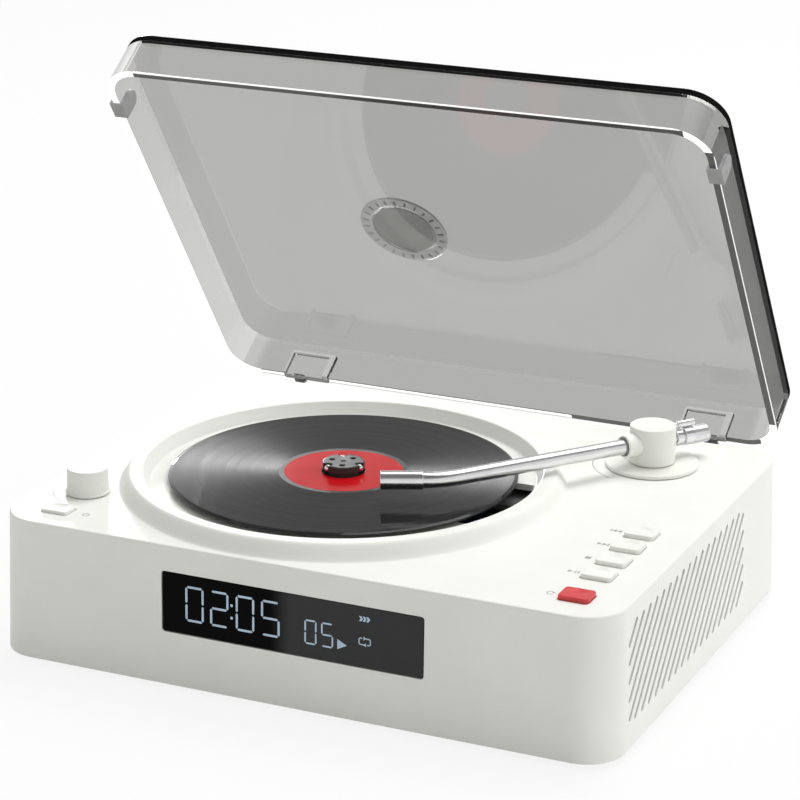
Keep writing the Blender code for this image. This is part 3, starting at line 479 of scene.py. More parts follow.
whitePlastic = moulded(
    "whitePlastic", dark=(0.845, 0.85, 0.80), light=(0.88, 0.885, 0.84), rough=(0.42, 0.5),
    grain=2600, tone=30, marks=60, bump=0.25, gloss=0.2)
redPlastic = moulded(
    "redPlastic", dark=(0.60, 0.035, 0.04), light=(0.68, 0.045, 0.05), rough=(0.3, 0.4),
    grain=2600, tone=200, marks=150, bump=0.15)
redLabel = moulded(
    "redLabel", dark=(0.50, 0.005, 0.008), light=(0.56, 0.008, 0.012), rough=(0.16, 0.24),
    grain=3500, tone=120, marks=120, bump=0.08, coat=0.2, gloss=0.1)
greyPlastic = moulded(
    "greyPlastic", dark=0.15, light=0.19, rough=(0.3, 0.42), grain=2600, tone=150, marks=150, bump=0.2)
bumperRubber = moulded(
    "bumperRubber", dark=0.28, light=0.33, rough=(0.45, 0.6), grain=2200, tone=300, marks=200, bump=0.3)
darkPlastic = moulded(
    "darkPlastic", dark=(0.02, 0.02, 0.021), light=(0.035, 0.035, 0.036), rough=(0.32, 0.48),
    grain=2400, tone=120, marks=120, bump=0.25)
hubTopPlastic = moulded(
    "hubTopPlastic", dark=0.11, light=0.15, rough=(0.3, 0.4), grain=3000, tone=200, marks=200, bump=0.15)
blackRubber = moulded(
    "blackRubber", dark=0.015, light=0.03, rough=(0.7, 0.9), grain=1800, tone=150, marks=150, bump=0.5)
batteryWrap = moulded(
    "batteryWrap", dark=(0.02, 0.08, 0.28), light=(0.03, 0.11, 0.36), rough=(0.25, 0.45),
    grain=900, tone=90, marks=90, bump=0.4)
speakerBlack = moulded(
    "speakerBlack", dark=0.03, light=0.06, rough=(0.5, 0.75), grain=1500, tone=200, marks=200, bump=0.5)
circuitGreen = moulded(
    "circuitGreen", dark=(0.012, 0.09, 0.035), light=(0.03, 0.16, 0.06), rough=(0.35, 0.6),
    grain=1600, tone=700, marks=400, bump=0.35)
lensGlass = moulded(
    "lensGlass", dark=(0.04, 0.03, 0.14), light=(0.06, 0.05, 0.2), rough=(0.03, 0.06),
    grain=2000, tone=300, marks=300, bump=0.02, coat=1)
printGrey = moulded(
    "printGrey", dark=(0.36, 0.36, 0.35), light=(0.42, 0.42, 0.41), rough=(0.5, 0.6),
    grain=3500, tone=500, marks=300, bump=0.1, gloss=0.1)
chrome = metal(
    "chrome", dark=(0.80, 0.80, 0.81), light=(0.88, 0.88, 0.89), rough=(0.17, 0.25),
    stretch=(900, 900, 2500), bump=0.06)
steel = metal(
    "steel", dark=(0.42, 0.42, 0.44), light=(0.56, 0.56, 0.58), rough=(0.28, 0.42),
    stretch=(200, 3000, 3000), bump=0.2)


# Materials of the lid

lidOpen = 55.4
opened = math.radians(lidOpen)
hinge = Vector(joints["lid_hinge"]["pos_m"])
lidAhead = Vector((0, -math.cos(opened), math.sin(opened)))
lidUp = Vector((0, math.sin(opened), math.cos(opened)))


def litThrough(tree, shader):
    # lamps and sky shine through the lid as if it weren't there, so it leaves no shadow on the deck
    path = addNode(tree, "LightPath").outputs
    unseen = combined(tree, "MAXIMUM", path["Is Shadow Ray"], path["Is Diffuse Ray"])
    mix = blend(tree, unseen, shader, addNode(tree, "BsdfTransparent"))
    fill(tree, tree.nodes["Material Output"], {"Surface": mix.outputs[0]})


def startClear(name, ior):
    # clear plastic with a few wiping marks in its gloss
    material, tree, shader = newMaterial(name)
    marks = effect(tree, handling, 12, 1).outputs["Mask"]
    rough = ranged(tree, marks, low=0.005, high=0.02)
    fill(tree, shader, {"Roughness": rough, "Transmission Weight": 1, "IOR": ior})
    litThrough(tree, shader)
    return material, tree, shader, marks


def makeSmokyPanel():
    # clear plastic that darkens with the thickness it is seen through
    material, tree, shader, marks = startClear("smokyPanel", 1.49)
    tint = colours(tree, marks, (0, (0.99, 0.99, 0.985)), (1, (0.97, 0.97, 0.965)))
    fill(tree, shader, {"Base Color": tint})
    absorb = addNode(tree, "VolumeAbsorption", {"Color": (0.2, 0.2, 0.195, 1), "Density": 305})
    fill(tree, tree.nodes["Material Output"], {"Volume": absorb.outputs[0]})
    return material


def alongLid(tree, heading):
    # how far a point lies from the hinge pin along a heading
    start = addNode(tree, "Mapping", {"Vector": objectPlace(tree), "Location": -hinge})
    return addNode(tree, "VectorMath", (start.outputs[0], heading), operation="DOT_PRODUCT").outputs["Value"]


def makeClearWall(name, paintedShadeTints, ior):
    # painted shade: the walls' colour is greyer at the sides and towards the hinge
    material, tree, shader, marks = startClear(name, ior)
    paintedShadeRun = ranged(tree, alongLid(tree, lidAhead), 0, 0.17)
    stops = [(place, (level, level, level * 0.99)) for place, level in paintedShadeTints]
    fill(tree, shader, {"Base Color": colours(tree, paintedShadeRun, *stops)})
    return material


# bands of painted shade on the lid's rim
rimPaintedShade = {  # from and to, in metres along the lid or across it
    "straight": (-0.0962, 0.1005), "rightSide": (0.1015, 0.1091), "rightDepth": (0.0165, 0.1570),
    "front": (0.1600, 0.1660), "rear": (0.0047, 0.0070), "rearEdge": (0.0040, 0.0026),
    "cornerDepth": (0, 0.0070), "cornerSide": (0.030, 0.1022), "soft": 0.0002,
}


def makeRimPaintedLight():
    # the polished rim is painted with light: an opaque pale colour and a painted glow, with painted shade
    # along the right wall, behind the arm and inside
    material, tree, shader = newMaterial("lidRim")
    depth = alongLid(tree, lidAhead)
    side = alongLid(tree, (1, 0, 0))

    def within(value, band):
        low, high = rimPaintedShade[band]
        soft = rimPaintedShade["soft"]
        return ranged(tree, value, low, low + soft), ranged(tree, value, high, high - soft)

    straight = within(side, "straight")
    paintedShadeAreas = (
        (*within(side, "rightSide"), *within(depth, "rightDepth")),
        (*within(depth, "front"), *straight), (*within(depth, "rear"), *straight),
        (ranged(tree, depth, *rimPaintedShade["rearEdge"]), *straight),
        (*within(depth, "cornerDepth"), *within(side, "cornerSide")))
    # the mask of painted shade on the rim
    dark = combined(tree, "MAXIMUM", *[combined(tree, "MULTIPLY", *area) for area in paintedShadeAreas])
    pale = toned(tree, effect(tree, mouldedSkin, 2500, 150), (0.9, 0.9, 0.89), (0.94, 0.94, 0.93))
    # the emission is a painted glow; the painted shade darkens both the colour and the glow
    fill(tree, shader, {
        "Base Color": mixed(tree, dark, pale, colour(0.05)), "Emission Strength": 1, "Roughness": 0.25,
        "Emission Color": mixed(tree, dark, colour((0.5, 0.5, 0.495)), colour(0.012)),
    })
    litThrough(tree, shader)
    return material


def makePanelEdgePaintedShade():
    # painted shade: a near-black colour for the panel's edge faces and the seam under the panel
    material, tree, shader = newMaterial("panelEdge")
    tint = toned(tree, effect(tree, mouldedSkin, 2500, 150), 0.007, 0.010)
    fill(tree, shader, {"Base Color": tint, "Roughness": 0.6, "Specular IOR Level": 0})
    litThrough(tree, shader)
    return material


def makeFrosted(name, dark, light):
    # cloudy plastic that lets the light behind it through
    material, tree, shader = newMaterial(name)
    skin = effect(tree, mouldedSkin, 2500, 150)
    fill(tree, shader, {
        "Base Color": toned(tree, skin, dark, light), "Transmission Weight": 1, "IOR": 1.2,
        "Roughness": ranged(tree, skin.outputs["Tone"], low=0.3, high=0.4),
    })
    litThrough(tree, shader)
    return material


smokyPanel = makeSmokyPanel()
panelEdge = makePanelEdgePaintedShade()
# painted shade along the lid: grey at the hinge, lighter beyond and lightest at the front end
clearWall = makeClearWall(
    "clearWall", [(0, 0.44), (0.033, 0.44), (0.035, 0.70), (0.95, 0.58), (0.965, 0.93)], 1.49)
# painted shade: the right wall gets a dark grey tint
shadedWall = makeClearWall("shadedWall", [(0, 0.36), (1, 0.36)], 1.06)
# the rim's painted glow and painted shade
rimPaintedLight = makeRimPaintedLight()
badgeRing = makeFrosted("badgeRing", (0.64, 0.64, 0.63), (0.68, 0.68, 0.67))
badgeMiddle = makeFrosted("badgeMiddle", (0.38, 0.38, 0.37), (0.42, 0.42, 0.41))
# dark colour of the ribs, and partly painted shade for the line round the middle
badgeDark = makeFrosted("badgeDark", (0.28, 0.28, 0.27), (0.32, 0.32, 0.31))
print("materials ready")


# Case

case = {
    "width": 0.2188, "depth": 0.1701, "draft": 0.00126, "foot": 0.002, "deck": 0.0507, "corner": 0.0134,
    "wall": 0.0022, "rim": 0.0007, "middle": (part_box("top_case")[0].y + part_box("top_case")[1].y) / 2,
    "cut": 0.006, "knobHole": 0.0033, "armHole": 0.0063, "inletHole": 0.0053, "slotFront": 0.0012,
    "slotUnder": 0.0033, "slotBack": 0.02,
}
discX, discY = joints["disc_spin"]["pos_m"][:2]
knobX, knobY = joints["volume_turn"]["pos_m"][:2]
armX, armY = joints["tonearm_swing"]["pos_m"][:2]
deck = case["deck"]
taper = case["draft"] / (deck - case["foot"])
discAt = moved((discX, discY, 0))
upright = turned(90, "X")
frontFace = moved((0, case["middle"] - case["depth"] / 2, deck)) @ Matrix.Rotation(-math.atan(taper), 4, "X")


def caseBlock(name, inset, low, high, rim):
    # the case's outline: round corners, and sides that lean out a little towards the bottom
    halfX = case["width"] / 2 + taper * (deck - high) - inset
    halfY = case["depth"] / 2 + taper * (deck - high) - inset
    middle = case["middle"]
    piece = box(name, (-halfX, middle - halfY, low), (halfX, middle + halfY, high))
    spread = taper * (high - low)
    pick(piece, "FACE", lambda centre, normal: normal.z < -0.9)
    bpy.ops.transform.resize(
        value=(1 + spread / halfX, 1 + spread / halfY, 1), center_override=(0, middle, low))
    bevelEdges(piece, lambda a, b: abs(a.z - b.z) > (high - low) / 2, case["corner"] - inset, 14)
    if rim:
        bevelTop(piece, high, rim, 4)
        bevelBottom(piece, low, rim * 0.6, 2)
    return piece


ring = {
    "foot": 0.0772, "crestOuter": 0.0724, "crestInner": 0.0686, "footInner": 0.0664, "height": 0.0053,
    "step": 0.0005, "bore": 0.010, "under": (0.0726, 0.0706), "fillet": 0.0009, "boreFillet": 0.0003,
    "swell": 1.15, "steps": 16, "opening": (-0.024, -0.0221, 0.0654, 0.0208), "openingCorner": 0.006,
    "openingCut": 0.004,
}


def makeRing():
    # the raised ring, the well's floor inside it and the opening over the pickup
    top = deck + ring["height"]
    floor = deck + ring["step"]
    wall, foot, footInner, bore = case["wall"], ring["foot"], ring["footInner"], ring["bore"]
    profile = [(bore, floor - wall), (bore, floor, ring["boreFillet"]), (footInner, floor, ring["fillet"])]
    profile.append((ring["crestInner"], top, ring["fillet"]))
    for index in range(ring["steps"] + 1):  # the outer side falls away in a soft swell
        share = index / ring["steps"]
        up = (1 + math.cos(math.pi * share ** ring["swell"])) / 2
        out = ring["crestOuter"] + (foot - ring["crestOuter"]) * share
        profile.append((out, deck + ring["height"] * up))
    profile += [(foot, deck - wall), (foot - wall, deck - wall), (foot - wall, deck)]
    profile += [(radius, top - wall) for radius in ring["under"]]
    profile += [(footInner + wall, floor), (footInner + wall, floor - wall), (bore, floor - wall)]
    piece = spun("discWell", profile, 160)
    low, front, high, back = ring["opening"]
    cut = ring["openingCut"]
    opening = softBox(
        "opening", (low, front, floor - cut), (high + 0.01, back, floor + cut), ring["openingCorner"], 0)
    cutAway(opening, spun("keep", hoop(high, 0.2, -0.01, 0.1), 96))  # the opening's end follows the ring
    cutAway(piece, opening)
    setPlace(piece, discAt)
    return finished(piece, whitePlastic, "case", "white_plastic", "top_case", degrees=40)


slots = {
    "count": 22, "width": 0.0019, "front": -0.069, "back": 0.0415, "low": 0.0112, "high": 0.0435,
    "firstTop": -0.0628, "pitch": 0.00623, "outside": 0.003, "inside": 0.0012, "roundness": 0.98,
}


def slotCutter(side):
    # all the slanting slots of one side, each with round ends
    rise = slots["high"] - slots["low"]
    cutters = []
    outer = side * (case["width"] / 2 + slots["outside"])
    inner = side * (case["width"] / 2 - case["wall"] - slots["inside"])
    for index in range(slots["count"]):
        top = slots["firstTop"] + slots["pitch"] * index
        start = max(top - rise, slots["front"])
        end = min(top, slots["back"])
        middle = Vector(((inner + outer) / 2, (start + end) / 2 + case["middle"], 0))
        middle.z = slots["high"] - (top - (start + end) / 2)
        length = math.hypot(end - start, end - start) + slots["width"]
        half = Vector((abs(outer - inner) / 2, length / 2, slots["width"] / 2))
        slot = box("slot", -half, half)
        bevelEdges(
            slot, lambda a, b: abs(a.x - b.x) > half.x, slots["width"] / 2 * slots["roundness"], 4)
        cutters.append(setPlace(slot, moved(middle) @ turned(45, "X")))
    return joined("slots", cutters)


buttons = {
    "x": 0.0923, "firstY": -0.0117, "pitch": 0.01303, "redY": -0.0702, "size": (0.0102, 0.0084),
    "height": 0.0015, "corner": 0.0012, "gap": 0.0003, "power": (-0.0924, -0.0721),
    "powerSize": (0.0099, 0.0075), "powerHeight": 0.0012, "depth": 0.003, "rim": 0.00035,
    "dimple": [(0, -0.0028), (0.0012, -0.0027), (0.0022, -0.0023), (0.0031, -0.0016), (0.0038, 0), (0, 0)],
    "dimpleSpread": (1.35, 0.95, 0.62, 1), "dimpleBack": 0.16, "dimpleRise": 0.00118,
}


def buttonPlaces():
    # name, place, size, height
    size, height = buttons["size"], buttons["height"]
    places = [(name, (buttons["x"], buttons["firstY"] - buttons["pitch"] * index), size, height)
              for index, name in enumerate(("previous", "next", "stop", "play_pause"))]
    places.append(("mode", (buttons["x"], buttons["redY"]), size, height))
    places.append(("power", buttons["power"], buttons["powerSize"], buttons["powerHeight"]))
    return [(name, (x, y + case["middle"]), size, height) for name, (x, y), size, height in places]


window = {
    "halfWidth": 0.0469, "halfHeight": 0.010575, "drop": 0.01952, "middle": 0.0005, "corner": 0.0012,
    "setBack": 0.00015, "gap": 0.0003, "rim": 0.0002, "thick": 0.0022, "flange": 0.0015,
    "flangeFrom": 0.0025, "flangeTo": 0.0037, "flangeCorner": 0.003, "cut": 0.004,
}


def frontPlate(name, grow, start, end, corner, rim=0):
    # a plate that lies in the front wall, with its face towards the front
    halfX, halfZ = window["halfWidth"] + grow, window["halfHeight"] + grow
    piece = softBox(name, (-halfX, -halfZ, -end), (halfX, halfZ, -start), corner, rim)
    return setPlace(piece, frontFace @ (moved((window["middle"], 0, -window["drop"])) @ upright))


lugs = {"left": (-0.0859, -0.0674), "right": (0.0711, 0.0893)}
knuckles = {"left": (-0.0828, -0.0784), "right": (0.0737, 0.0850)}
openings = {"left": (-0.0862, -0.0776), "right": (0.0714, 0.0905)}


def makeShell():
    # deck and four sides, with every opening cut through
    cut, gap = case["cut"], buttons["gap"]
    piece = caseBlock("caseShell", 0, case["foot"], deck, case["rim"])
    cutAway(piece, caseBlock("hollow", case["wall"], 0, deck - case["wall"], 0))
    well = spun("wellHole", pin(ring["foot"] - 0.0001, deck - 0.01, deck + 0.01), 160)
    cutters = [setPlace(well, discAt)]
    for name, (x, y), (width, depth), height in buttonPlaces():
        halfX, halfY = width / 2 + gap, depth / 2 + gap
        cutters.append(softBox(
            "hole", (x - halfX, y - halfY, deck - cut), (x + halfX, y + halfY, deck + cut),
            buttons["corner"] + gap, 0, 6))
    for x, y, radius in ((knobX, knobY, case["knobHole"]), (armX, armY, case["armHole"])):
        cutters.append(setPlace(spun("hole", pin(radius, deck - cut, deck + cut), 32), moved((x, y, 0))))
    for low, high in openings.values():
        cutters.append(box(
            "hole", (low, hinge.y + case["slotFront"], hinge.z - case["slotUnder"]),
            (high, hinge.y + case["slotBack"], deck + cut)))
    cutters.append(frontPlate("hole", 0, -window["cut"], cut, window["corner"]))
    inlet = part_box("dc_inlet")
    middle = (inlet[0] + inlet[1]) / 2
    backWall = case["middle"] + case["depth"] / 2
    hole = spun("hole", pin(case["inletHole"], -cut, cut), 32)
    cutters.append(setPlace(hole, moved((middle.x, backWall, middle.z)) @ upright))
    cutAway(piece, *cutters)
    cutAway(piece, slotCutter(1), slotCutter(-1))
    return finished(piece, whitePlastic, "case", "white_plastic", "top_case", degrees=40)


makeShell()
makeRing()
print("case made")


# Window and its figures

digits = {
    "zero": "abcdef", "two": "abged", "five": "afgcd", "depth": 0.00004,
    "large": {"width": 0.0067, "height": 0.0123, "stroke": 0.00075, "gap": 0.00022},
    "small": {"width": 0.0043, "height": 0.0084, "stroke": 0.00055, "gap": 0.00016},
    "largeAt": (-0.0376, -0.02855, -0.0192, -0.01005), "largeFoot": 0.02555,
    "smallAt": (0.0055, 0.0114), "smallFoot": 0.02545,
}
signs = {  # across the front and down from the deck
    "dots": ((-0.0207, 0.0295), (-0.0207, 0.0338)), "dotRadius": 0.0005,
    "play": [(0.01715, 0.0256), (0.01715, 0.02905), (0.0205, 0.0273)],
    "chargeAt": 0.0247, "chargePitch": (0, 0.00125, 0.0025),
    "charge": [(0, 0.03655), (0.0008, 0.03655), (0.0014, 0.0374), (0.0008, 0.03825), (0, 0.03825),
               (0.0006, 0.0374)],
    "loop": ((0.0246, 0.0285), (0.0289, 0.0310)), "loopCorner": 0.0007,
    "inner": ((0.02495, 0.02885), (0.02855, 0.03065)), "innerCorner": 0.0004,
    "breaks": (((0.0259, 0.0302), (0.0266, 0.0315)), ((0.0269, 0.0280), (0.0276, 0.0292))),
    "arrows": ([(0.02635, 0.0302), (0.0273, 0.03085), (0.02635, 0.0315)],
               [(0.0272, 0.02805), (0.02625, 0.02865), (0.0272, 0.0293)]),
}


def bar(start, end, stroke):
    # one lit bar with pointed ends
    start, end = Vector(start), Vector(end)
    along = (end - start).normalized()
    side = Vector((-along.y, along.x)) * stroke / 2
    tip = along * stroke / 2
    outline = [start, start + tip + side, end - tip + side, end, end - tip - side, start + tip - side]
    return plate("bar", [tuple(point) for point in outline], 0, digits["depth"])


def figure(shape, left, foot, size):
    width, height, gap = size["width"], size["height"], size["gap"]
    inset = size["stroke"] / 2
    x0, x1 = left + inset, left + width - inset
    y0, y1, y2 = foot + inset, foot + height / 2, foot + height - inset
    ends = {
        "a": ((x0 + gap, y2), (x1 - gap, y2)), "d": ((x0 + gap, y0), (x1 - gap, y0)),
        "g": ((x0 + gap, y1), (x1 - gap, y1)), "b": ((x1, y1 + gap), (x1, y2 - gap)),
        "c": ((x1, y0 + gap), (x1, y1 - gap)), "e": ((x0, y0 + gap), (x0, y1 - gap)),
        "f": ((x0, y1 + gap), (x0, y2 - gap)),
    }
    return [bar(*ends[letter], size["stroke"]) for letter in shape]


def makeSigns():
    # clock figures, track figures, and the play, charge and repeat signs
    depth = digits["depth"]
    parts = []
    for shape, left in zip(("zero", "two", "zero", "five"), digits["largeAt"]):
        parts += figure(digits[shape], left, digits["largeFoot"], digits["large"])
    for shape, left in zip(("zero", "five"), digits["smallAt"]):
        parts += figure(digits[shape], left, digits["smallFoot"], digits["small"])
    dot = arc(signs["dotRadius"], 0, 330, 11)
    outlines = [[(x + across, y + height) for x, y in dot] for across, height in signs["dots"]]
    outlines.append(signs["play"])
    for shift in signs["chargePitch"]:
        start = signs["chargeAt"] + shift
        outlines.append([(start + x, y) for x, y in signs["charge"]])
    parts += [plate("sign", outline, 0, depth) for outline in outlines]
    low, high = signs["loop"]
    loop = softBox("loop", (*low, 0), (*high, depth), signs["loopCorner"], 0, 4)
    low, high = signs["inner"]
    cutAway(loop, softBox("inner", (*low, -1), (*high, 1), signs["innerCorner"], 0, 4))
    cutAway(loop, *[box("break", (*low, -1), (*high, 1)) for low, high in signs["breaks"]])
    parts.append(loop)
    parts += [plate("arrow", outline, 0, depth) for outline in signs["arrows"]]
    stand = upright @ moved((0, -deck, -window["setBack"]))
    return setPlace(joined("displaySigns", parts), frontFace @ stand)


def makeLitMaterial():
    material, tree, shader = newMaterial("litFigures")
    tint = toned(tree, effect(tree, mouldedSkin, 2500, 260), (0.27, 0.35, 0.43), (0.34, 0.43, 0.52))
    fill(tree, shader, {
        "Base Color": tint, "Emission Color": tint, "Emission Strength": 0.4, "Roughness": 0.4})
    return material


def makeWindowMaterial():
    # deep black in front of the clock, smoky further right
    material, tree, shader = newMaterial("windowGlass")
    across = addNode(tree, "SeparateXYZ", (objectPlace(tree),)).outputs["X"]
    run = ranged(tree, across, -0.0075, 0.0015, interpolation_type="SMOOTHSTEP")
    marks = effect(tree, handling, 45, 1).outputs["Mask"]
    fill(tree, shader, {
        "Base Color": colours(tree, run, (0, (0.0012, 0.0012, 0.0014)), (1, (0.051, 0.051, 0.052))),
        "Roughness": ranged(tree, marks, low=0.06, high=0.14), "Specular IOR Level": 0.04,
    })
    return material


def makeWindow():
    gap = window["gap"]
    glass = frontPlate(
        "windowPane", -gap, window["setBack"], window["thick"], window["corner"] - gap, window["rim"])
    flange = frontPlate(
        "flange", window["flange"], window["flangeFrom"], window["flangeTo"], window["flangeCorner"])
    pane = joined("windowPane", [glass, flange])
    finished(pane, makeWindowMaterial(), "case", "black_glass", "display_window")
    finished(makeSigns(), makeLitMaterial(), "case", "black_glass")


makeWindow()
print("window made")


# Buttons, knob and the marks printed on the deck

def makeButton(name, place, size, height, material, slotName):
    # a cap with soft edges and an oval dimple in the back half of its top
    x, y = place
    halfX, halfY = size[0] / 2, size[1] / 2
    top = deck + height
    cap = softBox(
        name + "Cap", (x - halfX, y - halfY, deck - buttons["depth"]), (x + halfX, y + halfY, top),
        buttons["corner"], buttons["rim"], 6, 3)
    dimple = spun("dimple", buttons["dimple"], 48)
    dimpleAt = moved((x, y + size[1] * buttons["dimpleBack"], top + buttons["dimpleRise"]))
    setPlace(dimple, dimpleAt @ Matrix.Diagonal(buttons["dimpleSpread"]))
    cutAway(cap, dimple)
    return finished(cap, material, name + "_button_body", slotName, name + "_button", degrees=28)


for name, place, size, height in buttonPlaces():
    if name == "mode":
        makeButton(name, place, size, height, redPlastic, "red_plastic")
    else:
        makeButton(name, place, size, height, whitePlastic, "white_plastic")

knob = {
    "radius": 0.0069, "foot": 0.0072, "collar": 0.0077, "height": 0.0091, "collarHeight": 0.0012,
    "under": 0.0003, "bore": 0.0033, "boreTop": 0.006, "dot": 0.0004, "dotThick": 0.00005,
    "dotAt": (0.0046, 0.0005),
}


def makeKnob():
    height, step, under, bore = knob["height"], knob["collarHeight"], knob["under"], knob["bore"]
    body = spun("knobCap", [
        (0, height), (knob["radius"], height, 0.0005), (knob["foot"], step, 0.0002),
        (knob["collar"], step - 0.0001, 0.0003), (knob["collar"], under, 0.0001), (bore, under),
        (bore, knob["boreTop"]), (0, knob["boreTop"]),
    ], 96)
    setPlace(body, moved((knobX, knobY, deck)))
    dot = spun("knobDot", pin(knob["dot"], knob["dotThick"], 0), 24)
    x, y = knob["dotAt"]
    setPlace(dot, moved((knobX + x, knobY + y, deck + height)))
    finished(body, whitePlastic, "volume", "white_plastic", "volume_knob", degrees=30)
    finished(dot, printGrey, "volume", "grey_plastic")


makeKnob()

marks = {
    "thick": 0.00003, "stroke": 0.00032, "x": 0.0835, "height": 0.0021, "bar": 0.0004, "square": 0.0019,
    "step": 0.0018, "round": 0.0011, "knobArc": (0.0117, 158, 248), "armArc": (0.0206, 176, 246),
    "armTick": (-0.0098, -0.0188, 0.0003, 0.0010), "arrow": [(-0.0006, 0), (0.0006, 0), (0, -0.0009)],
}


def printed(outline, x, y):
    return setPlace(plate("print", outline, 0, marks["thick"]), moved((x, y, deck)))


def printedArc(x, y, radius, start, end):
    half = marks["stroke"] / 2
    return printed(arc(radius + half, start, end, 24) + arc(radius - half, end, start, 24), x, y)


def stroke(x, y, width, height):
    halfX, halfY = width / 2, height / 2
    return printed([(-halfX, -halfY), (halfX, -halfY), (halfX, halfY), (-halfX, halfY)], x, y)


def makePrints():
    # plain signs beside the controls, and the scale lines by knob and tonearm
    x, height, thin = marks["x"], marks["height"], marks["bar"]
    step, dot = marks["step"], marks["round"]
    tickX, tickY, tickWidth, tickHeight = marks["armTick"]
    parts = [printedArc(knobX, knobY, *marks["knobArc"]), printedArc(armX, armY, *marks["armArc"])]
    parts.append(stroke(armX + tickX, armY + tickY, tickWidth, tickHeight))
    right = [(0, -height / 2), (0, height / 2), (height * 0.8, 0)]
    left = [(-across, up) for across, up in right]
    rows = {name: y for name, (_, y), _, _ in buttonPlaces()}
    y = rows["previous"]
    parts += [stroke(x - 0.0019, y, thin, height), printed(left, x, y), printed(left, x + step, y)]
    y = rows["next"]
    parts += [printed(right, x - step, y), printed(right, x, y), stroke(x + 0.0020, y, thin, height)]
    parts.append(stroke(x, rows["stop"], marks["square"], marks["square"]))
    y = rows["play_pause"]
    parts += [printed(right, x - step, y), stroke(x + 0.0008, y, thin, height)]
    parts.append(stroke(x + step, y, thin, height))
    y = rows["mode"]
    parts += [printedArc(x, y, dot, 40, 330), printed(marks["arrow"], x + 0.0009, y + 0.0008)]
    x, y = buttons["power"][0] + 0.0105, rows["power"]
    parts += [printedArc(x, y, dot, 120, 420), stroke(x, y + 0.0009, 0.0003, 0.0013)]
    finished(joined("deckPrints", parts), printGrey, "case", "grey_plastic")


makePrints()
print("controls made")


# Disc, label, hub

disc = {
    "radius": 0.060, "bore": 0.0075, "top": 0.0540, "under": 0.0528, "label": 0.0204, "labelBore": 0.0076,
    "calm": 0.0223, "tracks": (0.0272, 0.0318, 0.0366, 0.0409, 0.0456, 0.0502, 0.0551),
    "trackGap": ((-0.00025, 0), (-0.0001, -0.00004), (0.0001, -0.00004), (0.00025, 0)),
}


def makeDiscMaterial():
    # fine circular grooves: they stretch each highlight across the disc
    material, tree, shader = newMaterial("groovedDisc")
    centre = addNode(tree, "Mapping", {
        "Vector": objectPlace(tree), "Location": (-discX, -discY, 0), "Scale": (1, 1, 0)})
    reach = addNode(tree, "VectorMath", (centre.outputs[0],), operation="LENGTH").outputs["Value"]
    grooves, bands = [
        addNode(tree, "TexNoise", {"W": reach, "Scale": scale, "Detail": detail}, noise_dimensions="1D")
        .outputs["Fac"] for scale, detail in ((1100, 3), (260, 2))]
    tangent = addNode(tree, "Tangent", direction_type="RADIAL", axis="Z").outputs[0]
    fill(tree, shader, {
        "Base Color": colours(tree, grooves, (0.3, (0.003, 0.003, 0.0035)), (0.7, (0.006, 0.006, 0.0065))),
        "Roughness": ranged(tree, bands, low=0.42, high=0.50), "Anisotropic": 0.97,
        "Anisotropic Rotation": 0.25, "Specular IOR Level": 0.1, "Coat Weight": 0.52,
        "Coat Roughness": 0.02, "Tangent": tangent,
    })
    bumped(tree, shader, grooves, 0.12, 0.00004)
    return material


def layRing(name, inner, outer, thick, fillet, material, slotName):
    # a thin ring on top of the disc
    top = disc["top"]
    piece = spun(name, [
        (inner, top), (inner, top + thick), (outer, top + thick, fillet), (outer, top), (inner, top)], 128)
    finished(setPlace(piece, discAt), material, "disc_stack", slotName)


def makeDisc():
    top, under, bore, radius = disc["top"], disc["under"], disc["bore"], disc["radius"]
    profile = [(bore, under), (bore, top, 0.0001), (disc["calm"], top)]
    for track in disc["tracks"]:  # a shallow smooth gap between two tracks
        profile += [(track + across, top + rise) for across, rise in disc["trackGap"]]
    profile += [(radius - 0.0012, top, 0.0002), (radius, top - 0.0004, 0.0002),
                (radius, under + 0.0002, 0.0001), (radius - 0.0004, under), (bore, under)]
    platter = setPlace(spun("recordDisc", profile, 192), discAt)
    finished(platter, makeDiscMaterial(), "disc_stack", "black_disc", "disc", degrees=40)
    layRing("discLabel", disc["labelBore"], disc["label"], 0.00008, 0.00004, redLabel, "red_plastic")
    layRing(
        "discInnerBand", disc["label"] + 0.00002, disc["calm"], 0.00005, 0.00002, darkPlastic, "black_disc")


hub = {
    "radius": 0.0072, "top": 0.0575, "under": 0.0525, "lip": 0.0003, "plate": 0.015, "plateThick": 0.0016,
    "neck": 0.004, "foot": 0.0470, "shaft": 0.0013, "shaftDepth": 0.003, "cap": (0.0009, 0.0065),
    "capThick": 0.00028, "ballCircle": 0.0062, "ball": 0.0013, "ballDrop": 0.0015, "turn": -3,
    "pocket": 0.0016, "holeCircle": 0.0043, "holeTurns": (180, 65, -70), "capHole": 0.0011,
    "bodyHole": 0.0010,
}


